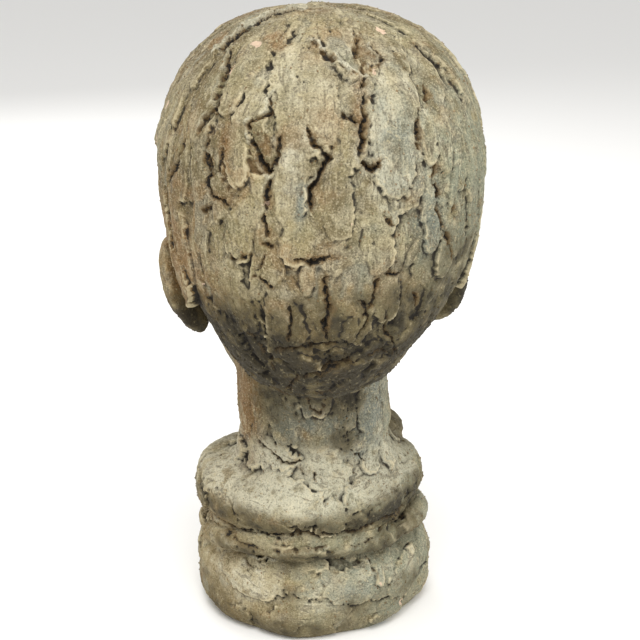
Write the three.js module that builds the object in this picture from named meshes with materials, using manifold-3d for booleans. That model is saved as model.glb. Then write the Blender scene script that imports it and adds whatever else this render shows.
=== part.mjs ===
// Portrait bust of a child with bobbed hair, on a rolled collar and a low round base: modelled in
// clay, cast in plaster as one solid piece and given an earthy patina.
// Millimetres. +Z is up, the face looks along -Y and +X is the figure's left. The origin is under
// the middle of the bounding box, in the plane that the bust stands on.
import * as THREE from "three";
import { mergeVertices } from "three/addons/utils/BufferGeometryUtils.js";
import Module from "manifold-3d";

// Driving dimensions.
const EYE_HEIGHT = 206; // from the underside to the level of the eyes
const HAIR_BREADTH = 170;
const HAIR_DEPTH = 176; // from the fringe to the back
const HAIR_TOP = 124; // from the level of the eyes to the crown
const NECK_RADIUS = 40;
const BASE_WIDTH = 132;
const BASE_DEPTH = 116;
const BASE_TOP = 47;
const COLLAR_TOP = 90;
const HEAD_TURN = THREE.MathUtils.degToRad(9); // the face turns a little to its left

// Fineness of the surface.
const SAMPLE_STEP = 2.5;
const FACETS = 10000;

// Signed distances, negative inside. A power over 2 squares an ellipsoid up a little.
function ellipsoid([x, y, z], [cx, cy, cz], [rx, ry, rz], power = 2) {
  const [dx, dy, dz] = [Math.abs(x - cx) / rx, Math.abs(y - cy) / ry, Math.abs(z - cz) / rz];
  if (power === 2) {
    const unit = Math.hypot(dx, dy, dz);
    return (unit * (unit - 1)) / Math.max(Math.hypot(dx / rx, dy / ry, dz / rz), 1e-9);
  }
  const unit = Math.max((dx ** power + dy ** power + dz ** power) ** (1 / power), 1e-6);
  const steep = (part, radius) => (part / unit) ** (power - 1) / radius;
  return (unit - 1) / Math.hypot(steep(dx, rx), steep(dy, ry), steep(dz, rz));
}

// A rod from a to b, with its own radius at each end.
function rod([x, y, z], a, b, radiusA, radiusB = radiusA) {
  const [bx, by, bz] = [b[0] - a[0], b[1] - a[1], b[2] - a[2]];
  const [px, py, pz] = [x - a[0], y - a[1], z - a[2]];
  const t = THREE.MathUtils.clamp((px * bx + py * by + pz * bz) / (bx * bx + by * by + bz * bz), 0, 1);
  return Math.hypot(px - t * bx, py - t * by, pz - t * bz) - THREE.MathUtils.lerp(radiusA, radiusB, t);
}

// A flat oval cake with a round rim.
function cake([x, y, z], [cx, cy, cz], [rx, ry], halfHeight, rim) {
  const [dx, dy] = [(x - cx) / rx, (y - cy) / ry];
  const unit = Math.hypot(dx, dy);
  const slope = Math.hypot(dx / rx, dy / ry);
  const side = (slope < 1e-9 ? -Math.min(rx, ry) : (unit * (unit - 1)) / slope) + rim;
  const end = Math.abs(z - cz) - halfHeight + rim;
  return Math.hypot(Math.max(side, 0), Math.max(end, 0)) + Math.min(Math.max(side, end), 0) - rim;
}

// The union of two forms, and a form less another, with a rounded meeting as wide as the blend.
function join(a, b, blend) {
  const h = Math.max(blend - Math.abs(a - b), 0) / blend;
  return Math.min(a, b) - (h * h * blend) / 4;
}

function cut(a, b, blend) {
  return -join(-a, b, blend);
}

const mirrored = ([x, y, z]) => [Math.abs(x), y, z];
const smooth = THREE.MathUtils.smoothstep;

// A fixed, scattered number from 0 to 1 for each whole-number place in a pattern.
function scatter(i, j, k) {
  const s = Math.sin(i * 127.1 + j * 311.7 + k * 74.7) * 43758.5453;
  return s - Math.floor(s);
}

// The head has a frame of its own: it starts at eye level, midway between the ears.
// Skull and face, without hair or ears: a child's round forehead, full cheeks and small chin.
function faceForm(p) {
  const q = mirrored(p);
  const skull = ellipsoid(p, [0, 12, 28], [77, 84, 86]);
  const forehead = ellipsoid(p, [0, -25, 20], [64, 56, 52]);
  const cheeks = ellipsoid(p, [0, -27, -30], [58, 50, 58]);
  const jaw = ellipsoid(p, [0, -36, -60], [41, 40, 31]);
  const chin = ellipsoid(p, [0, -67, -78], [16, 15, 12]);
  const cheekbone = ellipsoid(q, [31, -55, -32], [22, 20, 24]);
  const roundOfMouth = ellipsoid(p, [0, -66, -52], [25, 18, 20]);
  const brow = rod(q, [12, -77, 14], [42, -62, 15], 5);
  const socket = ellipsoid(q, [30, -87, 1], [20, 17, 12]);
  let d = join(skull, forehead, 20);
  d = join(d, cheeks, 16);
  d = join(join(d, jaw, 14), chin, 14);
  d = join(join(d, cheekbone, 14), roundOfMouth, 12);
  d = cut(join(d, brow, 10), socket, 10);
  d = join(d, eye(q), 2);
  return mouth(p, q, nose(p, q, d));
}

// The ball of the eye, and the lids over it with an almond opening.
function eye(p) {
  const [cx, cy, cz] = [29, -60, -3];
  const ball = ellipsoid(p, [cx, cy, cz], [15, 14, 13]);
  const lids = ellipsoid(p, [cx, cy, cz], [19, 17.5, 16]);
  const across = (p[0] - cx) / 16;
  const halfOpening = 6 * (1 - across * across);
  return Math.min(ball, cut(lids, Math.abs(p[2] - cz - across) - halfOpening, 1.5));
}

function nose(p, q, face) {
  const bridge = rod(p, [0, -75, 6], [0, -91, -27], 5, 8);
  const tip = ellipsoid(p, [0, -92, -29], [7.5, 8, 7]);
  const wing = ellipsoid(q, [9, -85, -31], [6, 8.5, 6]);
  const nostril = ellipsoid(q, [5.2, -90, -37.5], [2.6, 4, 3.2]);
  return cut(join(join(join(face, bridge, 9), tip, 4), wing, 4), nostril, 2);
}

function mouth(p, q, face) {
  const upperLip = rod(q, [4, -83.5, -50.5], [20, -74, -54], 3.6, 1.6);
  const lowerLip = rod(q, [0, -82.5, -58.5], [18, -74.5, -56], 4.8, 1.8);
  const parting = rod(q, [0, -88.6, -54.6], [22, -77.2, -55.4], 1.9, 1.3);
  const groove = rod(p, [0, -90, -41], [0, -90, -47], 2);
  return cut(cut(join(join(face, upperLip, 6), lowerLip, 5), parting, 3), groove, 4);
}

// An ear on the +X side: a shell turned out behind, hollow in front and leaning out at the top.
function ear([x, y, z], standOff, lean) {
  const turn = 0.4;
  const [u, v, w] = [x - 69 - standOff - lean * (z + 14), y - 6, z + 14];
  const across = u * Math.cos(turn) - v * Math.sin(turn);
  const along = u * Math.sin(turn) + v * Math.cos(turn);
  const q = [across, along, w - 0.18 * along];
  const shell = ellipsoid(q, [0, 4, 0], [6.5, 17, 25]);
  const lobe = ellipsoid(q, [-1, -2, -19], [5.5, 9, 9]);
  const hollow = ellipsoid(q, [7, 2, 3], [5.5, 10, 15]);
  const flap = ellipsoid(q, [2, -6, -4], [3.5, 4, 7]);
  return join(cut(join(shell, lobe, 6), hollow, 3), flap, 4);
}

const HAIR_CENTRE = [0, 12, 44];

// Where a point lies on the cap of hair, in degrees: longitude from the middle of the back, positive
// to the figure's left, and latitude above the cap's widest level.
function hairPlace([x, y, z]) {
  const [dx, dy, dz] = [x - HAIR_CENTRE[0], y - HAIR_CENTRE[1], z - HAIR_CENTRE[2]];
  const longitude = THREE.MathUtils.radToDeg(Math.atan2(dx, dy));
  return [longitude, THREE.MathUtils.radToDeg(Math.atan2(dz, Math.hypot(dx, dy)))];
}

// Height of the hair's lower edge above eye level: a ragged fringe over the brow, a lock before each
// ear and a fall behind it to the nape.
function hairEdge(longitude) {
  const turn = Math.abs(longitude);
  const ragged = 5 * scatter(Math.floor((longitude + 180) / 9), 0, 6);
  const fringe = 38 - 16 * smooth(-turn, -150, -128) - 18 * smooth(-turn, -124, -108);
  return fringe + ragged + 20 * smooth(-turn, -104, -94) - 94 * smooth(-turn, -84, -46);
}

// The hair is laid on in strips of clay, thumbed down from the crown. Each strip is a pad that is
// thicker at its lower end, and the pads overlap by chance.
const STRIP_COLUMNS = 24;
const STRIP_DEGREES = 42; // of latitude
const STRIP_THICKNESS = 7;
function strips([longitude, latitude]) {
  const u = ((longitude + 180) / 360) * STRIP_COLUMNS;
  let top = 0;
  for (let i = Math.floor(u) - 1; i <= Math.floor(u) + 1; i++) {
    const column = (i + STRIP_COLUMNS) % STRIP_COLUMNS;
    const v = latitude / STRIP_DEGREES + scatter(column, 0, 1);
    for (let j = Math.floor(v) - 1; j <= Math.floor(v) + 1; j++) {
      const shift = 0.5 * scatter(column, j, 2) - 0.25;
      const across = (u - i - 0.5 - shift) / (0.5 + 0.25 * scatter(column, j, 3));
      const along = (v - j - 0.5) / (0.55 + 0.2 * scatter(column, j, 4));
      const rim = Math.sqrt(Math.sqrt(across ** 4 + along ** 4));
      const pad = STRIP_THICKNESS * (0.4 + 0.6 * scatter(column, j, 5)) * (0.85 - 0.4 * along);
      top = Math.max(top, pad * smooth(-rim, -1, -0.8));
    }
  }
  return (top - STRIP_THICKNESS / 2) * smooth(-latitude, -84, -66);
}

// The open crevices between strips on the back of the head: longitude, upper and lower latitude.
const CREVICES = [
  [62, 17, 0],
  [48, 46, -2],
  [27, 30, -11],
  [22, 20, 10],
  [10, 24, 0],
  [-6, 58, 12],
  [-22, 28, 14],
  [-29, 10, -20],
  [-36, 0, -9],
  [7, -21, -37],
  [29, -15, -25],
  [-9, -24, -33],
];
const CREVICE_WIDTH = 4;
const CREVICE_DEPTH = 4.5;
function crevices([longitude, latitude]) {
  const perDegree = THREE.MathUtils.degToRad(HAIR_BREADTH / 2);
  let depth = 0;
  for (const [n, [at, upper, lower]] of CREVICES.entries()) {
    const wander = 2.2 * Math.sin(latitude / 4 + 5 * scatter(n, 1, 7)) * scatter(n, 2, 7);
    const aside = (longitude - at - wander) * Math.cos(THREE.MathUtils.degToRad(latitude));
    const beyond = Math.max(latitude - upper, lower - latitude, 0);
    const away = Math.hypot(aside, beyond) * perDegree;
    depth = Math.max(depth, CREVICE_DEPTH * (1 - away / CREVICE_WIDTH));
  }
  return depth;
}

// The cap of hair, cut off below by its lower edge, with the strips and crevices on its surface.
function hairCap(p) {
  const aboveCentre = HAIR_TOP - HAIR_CENTRE[2] - 2;
  const crown = ellipsoid(p, HAIR_CENTRE, [HAIR_BREADTH / 2 - 6, HAIR_DEPTH / 2 - 6, aboveCentre], 2.3);
  const fringe = ellipsoid(p, [0, -19, 34], [66, 66, 78]);
  const nape = ellipsoid(p, [5, 24, -5], [57, 64, 62]);
  const mass = join(join(crown, fringe, 12), nape, 24) - 2;
  const place = hairPlace(p);
  const nearSurface = Math.abs(mass) < 2 * STRIP_THICKNESS;
  const relief = nearSurface ? strips(place) - crevices(place) : 0;
  return cut(mass - relief, 0.4 * (p[2] - hairEdge(place[0])), 3);
}

function headForm(p) {
  const leftEar = ear(p, 2, 0.2);
  const rightEar = ear(mirrored(p), -3, 0);
  return join(join(faceForm(p), p[0] > 0 ? leftEar : rightEar, 4), hairCap(p), 2);
}

// Neck, rolled collar and low round base, with a thin roll that winds up and down between the two.
// The base's form runs on below the underside, where it is cut flat. A lump of clay is left on the
// figure's right shoulder.
const BELOW = 5;
function bodyForm(p) {
  const [halfWidth, halfDepth] = [BASE_WIDTH / 2, BASE_DEPTH / 2];
  const turn = Math.atan2(p[0], p[1]);
  const winding = 4 * Math.cos(turn) + 1.2 * Math.sin(3 * turn + 0.5);
  const unevenness = 1.2 * Math.sin(3 * turn + 1) + 0.8 * Math.sin(7 * turn);
  const wound = [p[0], p[1], p[2] - winding + 0.04 * p[0]];

  const baseHalf = (BASE_TOP + BELOW) / 2;
  const collarHalf = (COLLAR_TOP - BASE_TOP - 7) / 2;
  const base = cake(p, [4, -4, baseHalf - BELOW], [halfWidth, halfDepth], baseHalf, 20);
  const roll = cake(wound, [4, -3, BASE_TOP + 4], [halfWidth - 2, halfDepth - 3], 5, 5);
  const collarSize = [halfWidth - 3, halfDepth - 3];
  const collar = cake(wound, [6, -2, COLLAR_TOP - collarHalf], collarSize, collarHalf, collarHalf - 1);
  const rolls = join(join(base, roll, 2), collar, 3) - unevenness;

  const neckRoot = rod(p, [2, 0, 70], [1, 2, 106], NECK_RADIUS + 7, NECK_RADIUS);
  const neck = rod(p, [1, 2, 106], [3, 4, 170], NECK_RADIUS);
  const lump = ellipsoid(p, [-37, -30, 91], [12, 15, 13]);
  return join(join(join(rolls, neckRoot, 9), neck, 6), lump, 5);
}

function bustForm([x, y, z]) {
  const [c, s] = [Math.cos(HEAD_TURN), Math.sin(HEAD_TURN)];
  const inHead = [x * c + y * s, y * c - x * s, z - EYE_HEIGHT];
  return join(headForm(inHead), bodyForm([x, y, z]), 8);
}

// Marching tetrahedra: each cube of the grid is six tetrahedra round one diagonal.
const TETRAHEDRA = [[0, 1, 3, 7], [0, 3, 2, 7], [0, 2, 6, 7], [0, 6, 4, 7], [0, 4, 5, 7], [0, 5, 1, 7]];
// Even orders of a tetrahedron's corners, by the sum of 1, 2, 4 and 8 for those inside: the lone
// corner first, or the two inner corners first.
const LONE_FIRST = { 1: [0, 1, 2, 3], 2: [1, 0, 3, 2], 4: [2, 3, 0, 1], 8: [3, 2, 1, 0] };
const PAIR_FIRST = {
  3: [0, 1, 2, 3],
  5: [0, 2, 3, 1],
  6: [1, 2, 0, 3],
  9: [0, 3, 1, 2],
  10: [1, 3, 2, 0],
  12: [2, 3, 0, 1],
};
const CUBE = [0, 1, 2, 3, 4, 5, 6, 7].map((n) => [n & 1, (n >> 1) & 1, n >> 2]);
const FARTHEST = 1.8; // of a block's side: its surface can't be further from its middle

// The surface where a form's distance is zero. Blocks that it can't reach are passed over whole.
function surfaceOf(form, low, levels, step) {
  const side = 2 ** levels + 1;
  const place = (i, j, k) => [low[0] + i * step, low[1] + j * step, low[2] + k * step];
  const values = new Float64Array(side ** 3).fill(NaN);
  const sample = (i, j, k) => {
    const id = i + side * (j + side * k);
    if (Number.isNaN(values[id])) values[id] = form(place(i, j, k)) || 1e-6;
    return { id, value: values[id], at: place(i, j, k) };
  };
  const points = [];
  const triangles = [];
  const crossings = new Map();
  const crossing = (a, b) => {
    const [m, n] = a.id < b.id ? [a, b] : [b, a];
    const key = m.id * values.length + n.id;
    if (!crossings.has(key)) {
      const t = m.value / (m.value - n.value);
      crossings.set(key, points.length);
      points.push(m.at.map((c, i) => c + t * (n.at[i] - c)));
    }
    return crossings.get(key);
  };
  const fill = (i, j, k) => {
    const corners = CUBE.map(([di, dj, dk]) => sample(i + di, j + dj, k + dk));
    if (corners.every((c) => c.value < 0) || corners.every((c) => c.value > 0)) return;
    for (const tetrahedron of TETRAHEDRA) {
      const t = tetrahedron.map((c) => corners[c]);
      const inner = t.reduce((sum, corner, n) => sum + (corner.value < 0 ? 1 << n : 0), 0);
      if (PAIR_FIRST[inner]) {
        const [a, b, c, e] = PAIR_FIRST[inner].map((n) => t[n]);
        const ring = [crossing(a, c), crossing(a, e), crossing(b, e), crossing(b, c)];
        triangles.push([ring[0], ring[1], ring[2]], [ring[0], ring[2], ring[3]]);
      } else if (LONE_FIRST[inner]) {
        const [a, b, c, e] = LONE_FIRST[inner].map((n) => t[n]);
        triangles.push([crossing(a, b), crossing(a, c), crossing(a, e)]);
      } else if (LONE_FIRST[15 - inner]) {
        const [a, b, c, e] = LONE_FIRST[15 - inner].map((n) => t[n]);
        triangles.push([crossing(a, b), crossing(a, e), crossing(a, c)]);
      }
    }
  };
  const visit = (i, j, k, size) => {
    if (size === 1) return fill(i, j, k);
    const half = size / 2;
    if (Math.abs(form(place(i + half, j + half, k + half))) > FARTHEST * size * step) return;
    for (const [di, dj, dk] of CUBE) visit(i + half * di, j + half * dj, k + half * dk, half);
  };
  visit(0, 0, 0, side - 1);
  return { points, triangles };
}

// The weight of an error at a point: the eyes, nose and mouth keep more facets than the rest.
const FACE_FRONT = 80;
const FACE_MIDDLE = [FACE_FRONT * Math.sin(HEAD_TURN), -FACE_FRONT * Math.cos(HEAD_TURN), EYE_HEIGHT - 25];
function care([x, y, z]) {
  const away = Math.hypot(x - FACE_MIDDLE[0], y - FACE_MIDDLE[1], z - FACE_MIDDLE[2]);
  return 1 + 5 * smooth(-away, -62, -30);
}

// Merges the ends of the cheapest edges, by squared distance to the planes met there, until the
// wanted number of triangles is left. An edge is kept if merging it would pinch or turn the surface.
function simplified({ points, triangles }, wanted) {
  const faces = triangles.map((t) => [...t]);
  const facesAt = points.map(() => new Set());
  const quadrics = points.map(() => new Float64Array(10));
  const age = new Uint32Array(points.length);
  const normalOf = ([ax, ay, az], [bx, by, bz], [cx, cy, cz]) => {
    const [ux, uy, uz, vx, vy, vz] = [bx - ax, by - ay, bz - az, cx - ax, cy - ay, cz - az];
    return [uy * vz - uz * vy, uz * vx - ux * vz, ux * vy - uy * vx];
  };
  faces.forEach((face, f) => {
    const n = normalOf(points[face[0]], points[face[1]], points[face[2]]);
    const size = Math.hypot(n[0], n[1], n[2]) || 1e-12;
    const [a, b, c] = [n[0] / size, n[1] / size, n[2] / size];
    const [x, y, z] = points[face[0]];
    const d = -(a * x + b * y + c * z);
    const plane = [a * a, a * b, a * c, a * d, b * b, b * c, b * d, c * c, c * d, d * d];
    const weight = size * care(points[face[0]]);
    for (const v of face) {
      facesAt[v].add(f);
      for (let i = 0; i < 10; i++) quadrics[v][i] += plane[i] * weight;
    }
  });

  const costAt = (q, [x, y, z]) => {
    const square = q[0] * x * x + q[4] * y * y + q[7] * z * z + q[9];
    return square + 2 * (q[1] * x * y + q[2] * x * z + q[3] * x + q[5] * y * z + q[6] * y + q[8] * z);
  };
  // The lowest point of a summed quadric, or null where it is nearly flat and has none near by.
  const lowest = (q, middle, reach) => {
    const [a, b, c] = [q[4] * q[7] - q[5] * q[5], q[2] * q[5] - q[1] * q[7], q[1] * q[5] - q[2] * q[4]];
    const whole = q[0] * a + q[1] * b + q[2] * c;
    if (Math.abs(whole) < 1e-4 * ((q[0] + q[4] + q[7]) / 3) ** 3) return null;
    const [d, e, f] = [q[0] * q[7] - q[2] * q[2], q[1] * q[2] - q[0] * q[5], q[0] * q[4] - q[1] * q[1]];
    const at = [
      -(a * q[3] + b * q[6] + c * q[8]) / whole,
      -(b * q[3] + d * q[6] + e * q[8]) / whole,
      -(c * q[3] + e * q[6] + f * q[8]) / whole,
    ];
    return Math.hypot(at[0] - middle[0], at[1] - middle[1], at[2] - middle[2]) < 1.5 * reach ? at : null;
  };
  const merged = (u, v, reach) => {
    const q = new Float64Array(10);
    for (let i = 0; i < 10; i++) q[i] = quadrics[u][i] + quadrics[v][i];
    const [a, b] = [points[u], points[v]];
    const middle = [(a[0] + b[0]) / 2, (a[1] + b[1]) / 2, (a[2] + b[2]) / 2];
    let best = { at: middle, cost: costAt(q, middle) };
    for (const at of [a, b, lowest(q, middle, reach)]) {
      if (at && costAt(q, at) < best.cost) best = { at, cost: costAt(q, at) };
    }
    return best;
  };

  const heap = [];
  const raise = (entry) => {
    let i = heap.push(entry) - 1;
    while (i > 0) {
      const parent = (i - 1) >> 1;
      if (heap[parent].cost <= entry.cost) break;
      heap[i] = heap[parent];
      i = parent;
    }
    heap[i] = entry;
  };
  const cheapest = () => {
    const first = heap[0];
    const last = heap.pop();
    let i = 0;
    while (heap.length && 2 * i + 1 < heap.length) {
      let child = 2 * i + 1;
      if (child + 1 < heap.length && heap[child + 1].cost < heap[child].cost) child++;
      if (heap[child].cost >= last.cost) break;
      heap[i] = heap[child];
      i = child;
    }
    if (heap.length) heap[i] = last;
    return first;
  };
  const offer = (u, v) => {
    const [a, b] = [points[u], points[v]];
    const reach = Math.hypot(a[0] - b[0], a[1] - b[1], a[2] - b[2]);
    const { at, cost } = merged(u, v, reach);
    raise({ cost: cost + 1e-3 * reach * reach, at, u, v, age: age[u] + age[v] });
  };
  const around = (v) => {
    const ring = new Set();
    for (const f of facesAt[v]) for (const w of faces[f]) if (w !== v) ring.add(w);
    return ring;
  };
  const turns = (v, other, at) => {
    for (const f of facesAt[v]) {
      const [a, b, c] = faces[f];
      if (a === other || b === other || c === other) continue;
      const before = normalOf(points[a], points[b], points[c]);
      const after = normalOf(a === v ? at : points[a], b === v ? at : points[b], c === v ? at : points[c]);
      const dot = before[0] * after[0] + before[1] * after[1] + before[2] * after[2];
      const sizes = Math.hypot(before[0], before[1], before[2]) * Math.hypot(after[0], after[1], after[2]);
      if (dot < 0.25 * sizes) return true;
    }
    return false;
  };
  for (const [a, b, c] of faces) {
    if (a < b) offer(a, b);
    if (b < c) offer(b, c);
    if (c < a) offer(c, a);
  }

  let left = faces.length;
  while (left > wanted && heap.length) {
    const { at, u, v, age: then } = cheapest();
    if (!facesAt[u].size || !facesAt[v].size || age[u] + age[v] !== then) continue;
    const neighbours = around(u);
    const shared = [...around(v)].filter((w) => neighbours.has(w));
    if (shared.length !== 2 || turns(u, v, at) || turns(v, u, at)) continue;
    for (const f of [...facesAt[v]]) {
      if (faces[f].includes(u)) {
        faces[f].forEach((w) => facesAt[w].delete(f));
        left--;
      } else {
        faces[f] = faces[f].map((w) => (w === v ? u : w));
        facesAt[u].add(f);
      }
    }
    facesAt[v].clear();
    points[u] = at;
    quadrics[v].forEach((term, i) => (quadrics[u][i] += term));
    age[u] = age[v] = Math.max(age[u], age[v]) + 1;
    for (const w of around(u)) offer(u, w);
  }
  const kept = new Map();
  const numberOf = (v) => kept.get(v) ?? kept.set(v, kept.size).get(v);
  const live = faces.filter((face, f) => facesAt[face[0]].has(f)).map((face) => face.map(numberOf));
  return { points: [...kept.keys()].map((v) => points[v]), triangles: live };
}

const solids = await Module();
solids.setup();

function solidOf({ points, triangles }) {
  const vertProperties = new Float32Array(points.flat());
  const triVerts = new Uint32Array(triangles.flat());
  return new solids.Manifold(new solids.Mesh({ numProp: 3, vertProperties, triVerts }));
}

// A solid block, wide enough to cut everything away below the underside.
const REACH = 190;
function ground() {
  const block = new THREE.BoxGeometry(2 * REACH, 2 * REACH, REACH).translate(0, 0, -REACH / 2);
  const { attributes, index } = mergeVertices(block.deleteAttribute("uv").deleteAttribute("normal"));
  const vertProperties = new Float32Array(attributes.position.array);
  const triVerts = new Uint32Array(index.array);
  return new solids.Manifold(new solids.Mesh({ numProp: 3, vertProperties, triVerts }));
}

// Stands the solid on its underside, with the origin under the middle of its bounding box.
function standing(solid) {
  const { vertProperties, triVerts } = solid.getMesh();
  const geometry = new THREE.BufferGeometry();
  geometry.setAttribute("position", new THREE.BufferAttribute(vertProperties, 3));
  geometry.setIndex(new THREE.BufferAttribute(triVerts, 1));
  geometry.computeBoundingBox();
  const { min, max } = geometry.boundingBox;
  geometry.translate(-(min.x + max.x) / 2, -(min.y + max.y) / 2, -min.z);
  geometry.computeVertexNormals();
  return geometry;
}

const levels = Math.ceil(Math.log2((2 * REACH) / SAMPLE_STEP));
const low = [-REACH, -REACH, -BELOW - SAMPLE_STEP - 0.8];
const rough = surfaceOf(bustForm, low, levels, SAMPLE_STEP);
const cast = solidOf(simplified(rough, FACETS)).subtract(ground());

const plaster = new THREE.MeshStandardMaterial({ color: 0x8d846b, roughness: 0.85, metalness: 0 });
plaster.name = "patinated plaster";
const bust = new THREE.Mesh(standing(cast), plaster);
bust.name = "bust";
const part = new THREE.Group();
part.name = "child_bust";
part.add(bust);

export default part;
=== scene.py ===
import bpy
import numpy as np
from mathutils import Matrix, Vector, kdtree, noise


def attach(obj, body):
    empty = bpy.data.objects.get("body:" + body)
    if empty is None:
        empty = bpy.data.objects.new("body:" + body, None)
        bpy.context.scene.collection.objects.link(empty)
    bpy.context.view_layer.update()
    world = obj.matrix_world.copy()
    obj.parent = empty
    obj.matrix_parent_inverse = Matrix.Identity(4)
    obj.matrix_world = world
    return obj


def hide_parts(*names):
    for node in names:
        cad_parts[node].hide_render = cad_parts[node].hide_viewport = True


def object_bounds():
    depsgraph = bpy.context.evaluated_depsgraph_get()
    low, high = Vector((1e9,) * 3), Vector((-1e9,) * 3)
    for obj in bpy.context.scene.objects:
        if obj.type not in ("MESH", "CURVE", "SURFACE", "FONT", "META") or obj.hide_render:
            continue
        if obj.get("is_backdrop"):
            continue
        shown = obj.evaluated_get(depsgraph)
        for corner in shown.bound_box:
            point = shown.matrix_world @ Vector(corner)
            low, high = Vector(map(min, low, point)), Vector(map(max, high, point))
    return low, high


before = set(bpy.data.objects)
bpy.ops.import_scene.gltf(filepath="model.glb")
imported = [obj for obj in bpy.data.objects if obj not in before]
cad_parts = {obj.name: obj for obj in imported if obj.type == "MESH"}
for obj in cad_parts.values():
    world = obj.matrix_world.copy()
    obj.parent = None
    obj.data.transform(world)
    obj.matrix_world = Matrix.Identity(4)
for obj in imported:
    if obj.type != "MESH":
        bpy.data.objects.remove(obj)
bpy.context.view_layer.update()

# The camera stands behind the bust and looks down on it a little, from about arm's length.
# A long lens keeps the head and the base in proportion.
camera = bpy.data.objects.new("camera", bpy.data.cameras.new("camera"))
bpy.context.scene.collection.objects.link(camera)
bpy.context.scene.camera = camera
CAMERA_AT = Vector((-0.0005, 0.6562, 0.3782))
CAMERA_AIM = Vector((-0.0005, 0, 0.165))
LENS = 72  # this and the sensor's width are in millimetres
SENSOR_WIDTH = 36
camera.location = CAMERA_AT
camera.rotation_euler = (CAMERA_AIM - CAMERA_AT).to_track_quat("-Z", "Y").to_euler()
camera.data.lens = LENS
camera.data.sensor_width = SENSOR_WIDTH
camera.data.clip_start = 0.01


# The studio: a pale painted floor, a large soft light high behind the camera, a weak one opposite,
# and a pale sky all round.
def linear(colour, alpha=1.0):
    """An sRGB hex colour as linear red, green, blue and alpha."""
    parts = [int(colour[i : i + 2], 16) / 255 for i in (1, 3, 5)]
    return [c / 12.92 if c < 0.04045 else ((c + 0.055) / 1.055) ** 2.4 for c in parts] + [alpha]


FLOOR_HALF = 12
SKY_STRENGTH = 0.75
floor_mesh = bpy.data.meshes.new("studio_floor")
corners = [(-1, -1), (1, -1), (1, 1), (-1, 1)]
floor_mesh.from_pydata([(x * FLOOR_HALF, y * FLOOR_HALF, 0) for x, y in corners], [], [(0, 1, 2, 3)])
floor = bpy.data.objects.new("studio_floor", floor_mesh)
bpy.context.scene.collection.objects.link(floor)
floor_paint = bpy.data.materials.new("matt white floor paint")
floor_paint.use_nodes = True
floor_paint.node_tree.nodes["Principled BSDF"].inputs["Base Color"].default_value = linear("#f4f3f0")
floor_paint.node_tree.nodes["Principled BSDF"].inputs["Roughness"].default_value = 0.9
floor_mesh.materials.append(floor_paint)
floor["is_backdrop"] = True

SOFTBOXES = {  # place, side in metres, watts
    "high_softbox": ((0.0, 0.85, 1.75), 0.8, 22),
    "left_softbox": ((1.4, 0.8, 0.8), 1.0, 1),
    "right_softbox": ((-1.3, 0.9, 0.9), 1.0, 7),
    "front_softbox": ((0.6, -1.3, 1.1), 1.0, 10),
}
for name, (at, side, watts) in SOFTBOXES.items():
    lamp = bpy.data.lights.new(name, "AREA")
    lamp.size = side
    lamp.energy = watts
    box = bpy.data.objects.new(name, lamp)
    box.location = at
    box.rotation_euler = (CAMERA_AIM - Vector(at)).to_track_quat("-Z", "Y").to_euler()
    bpy.context.scene.collection.objects.link(box)
sky = bpy.data.worlds.new("pale_sky")
sky.use_nodes = True
sky.node_tree.nodes["Background"].inputs["Color"].default_value = linear("#ffffff")
sky.node_tree.nodes["Background"].inputs["Strength"].default_value = SKY_STRENGTH
bpy.context.scene.world = sky
bpy.context.scene.view_settings.view_transform = "Standard"


# The mass of the bust: the head with its cap of bobbed hair, the neck, the rolled collar and the
# low round base. It is one solid plaster cast, whose form was built up in clay from round masses.
EYE_HEIGHT = 206
HAIR_BREADTH = 170
HAIR_DEPTH = 176
HAIR_TOP = 124
HAIR_CENTRE = np.array([0, 12, 44])
NECK_RADIUS = 40
BASE_WIDTH = 132
BASE_DEPTH = 116
BASE_TOP = 47
BASE_SUNK = 5  # the base is cut flat this far up its round foot
BASE_RIM = 20
ROLL_LEVEL = BASE_TOP + 4  # the thin roll between base and collar
ROLL_HALF = 5
COLLAR_FOOT = BASE_TOP + 7
COLLAR_TOP = 90
BASE_PLACE, ROLL_PLACE, COLLAR_PLACE = (4, -4), (4, -3), (6, -2)  # the middles, seen from above
HEAD_TURN = np.radians(9)
STAND_OFF = np.array([0.758, -0.302, 0])  # from the base's own axis to the middle of the box


def ellipsoid(p, centre, radii, power=2):
    """Signed distance to an ellipsoid. A power over 2 squares it up a little."""
    radii = np.array(radii, float)
    offset = np.abs(p - centre) / radii
    if power == 2:
        unit = np.linalg.norm(offset, axis=1)
        return unit * (unit - 1) / np.maximum(np.linalg.norm(offset / radii, axis=1), 1e-9)
    unit = np.maximum((offset**power).sum(1) ** (1 / power), 1e-6)
    steep = (offset / unit[:, None]) ** (power - 1) / radii
    return (unit - 1) / np.linalg.norm(steep, axis=1)


def rod(p, a, b, radius_a, radius_b=None):
    """Signed distance to a rod from a to b, with its own radius at each end."""
    a, b = np.array(a, float), np.array(b, float)
    radius_b = radius_a if radius_b is None else radius_b
    t = np.clip((p - a) @ (b - a) / ((b - a) @ (b - a)), 0, 1)
    return np.linalg.norm(p - a - t[:, None] * (b - a), axis=1) - (radius_a + t * (radius_b - radius_a))


def cake(p, centre, radii, half_height, rim):
    """Signed distance to a flat oval cake with a round rim."""
    radii = np.array(radii, float)
    offset = (p[:, :2] - centre[:2]) / radii
    unit = np.linalg.norm(offset, axis=1)
    side = unit * (unit - 1) / np.maximum(np.linalg.norm(offset / radii, axis=1), 1e-9) + rim
    end = np.abs(p[:, 2] - centre[2]) - half_height + rim
    outside = np.hypot(np.maximum(side, 0), np.maximum(end, 0))
    return outside + np.minimum(np.maximum(side, end), 0) - rim


def join(a, b, blend):
    """Two forms as one, with a soft hollow as wide as the blend where they meet."""
    h = np.maximum(blend - np.abs(a - b), 0) / blend
    return np.minimum(a, b) - h * h * blend / 4


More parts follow.
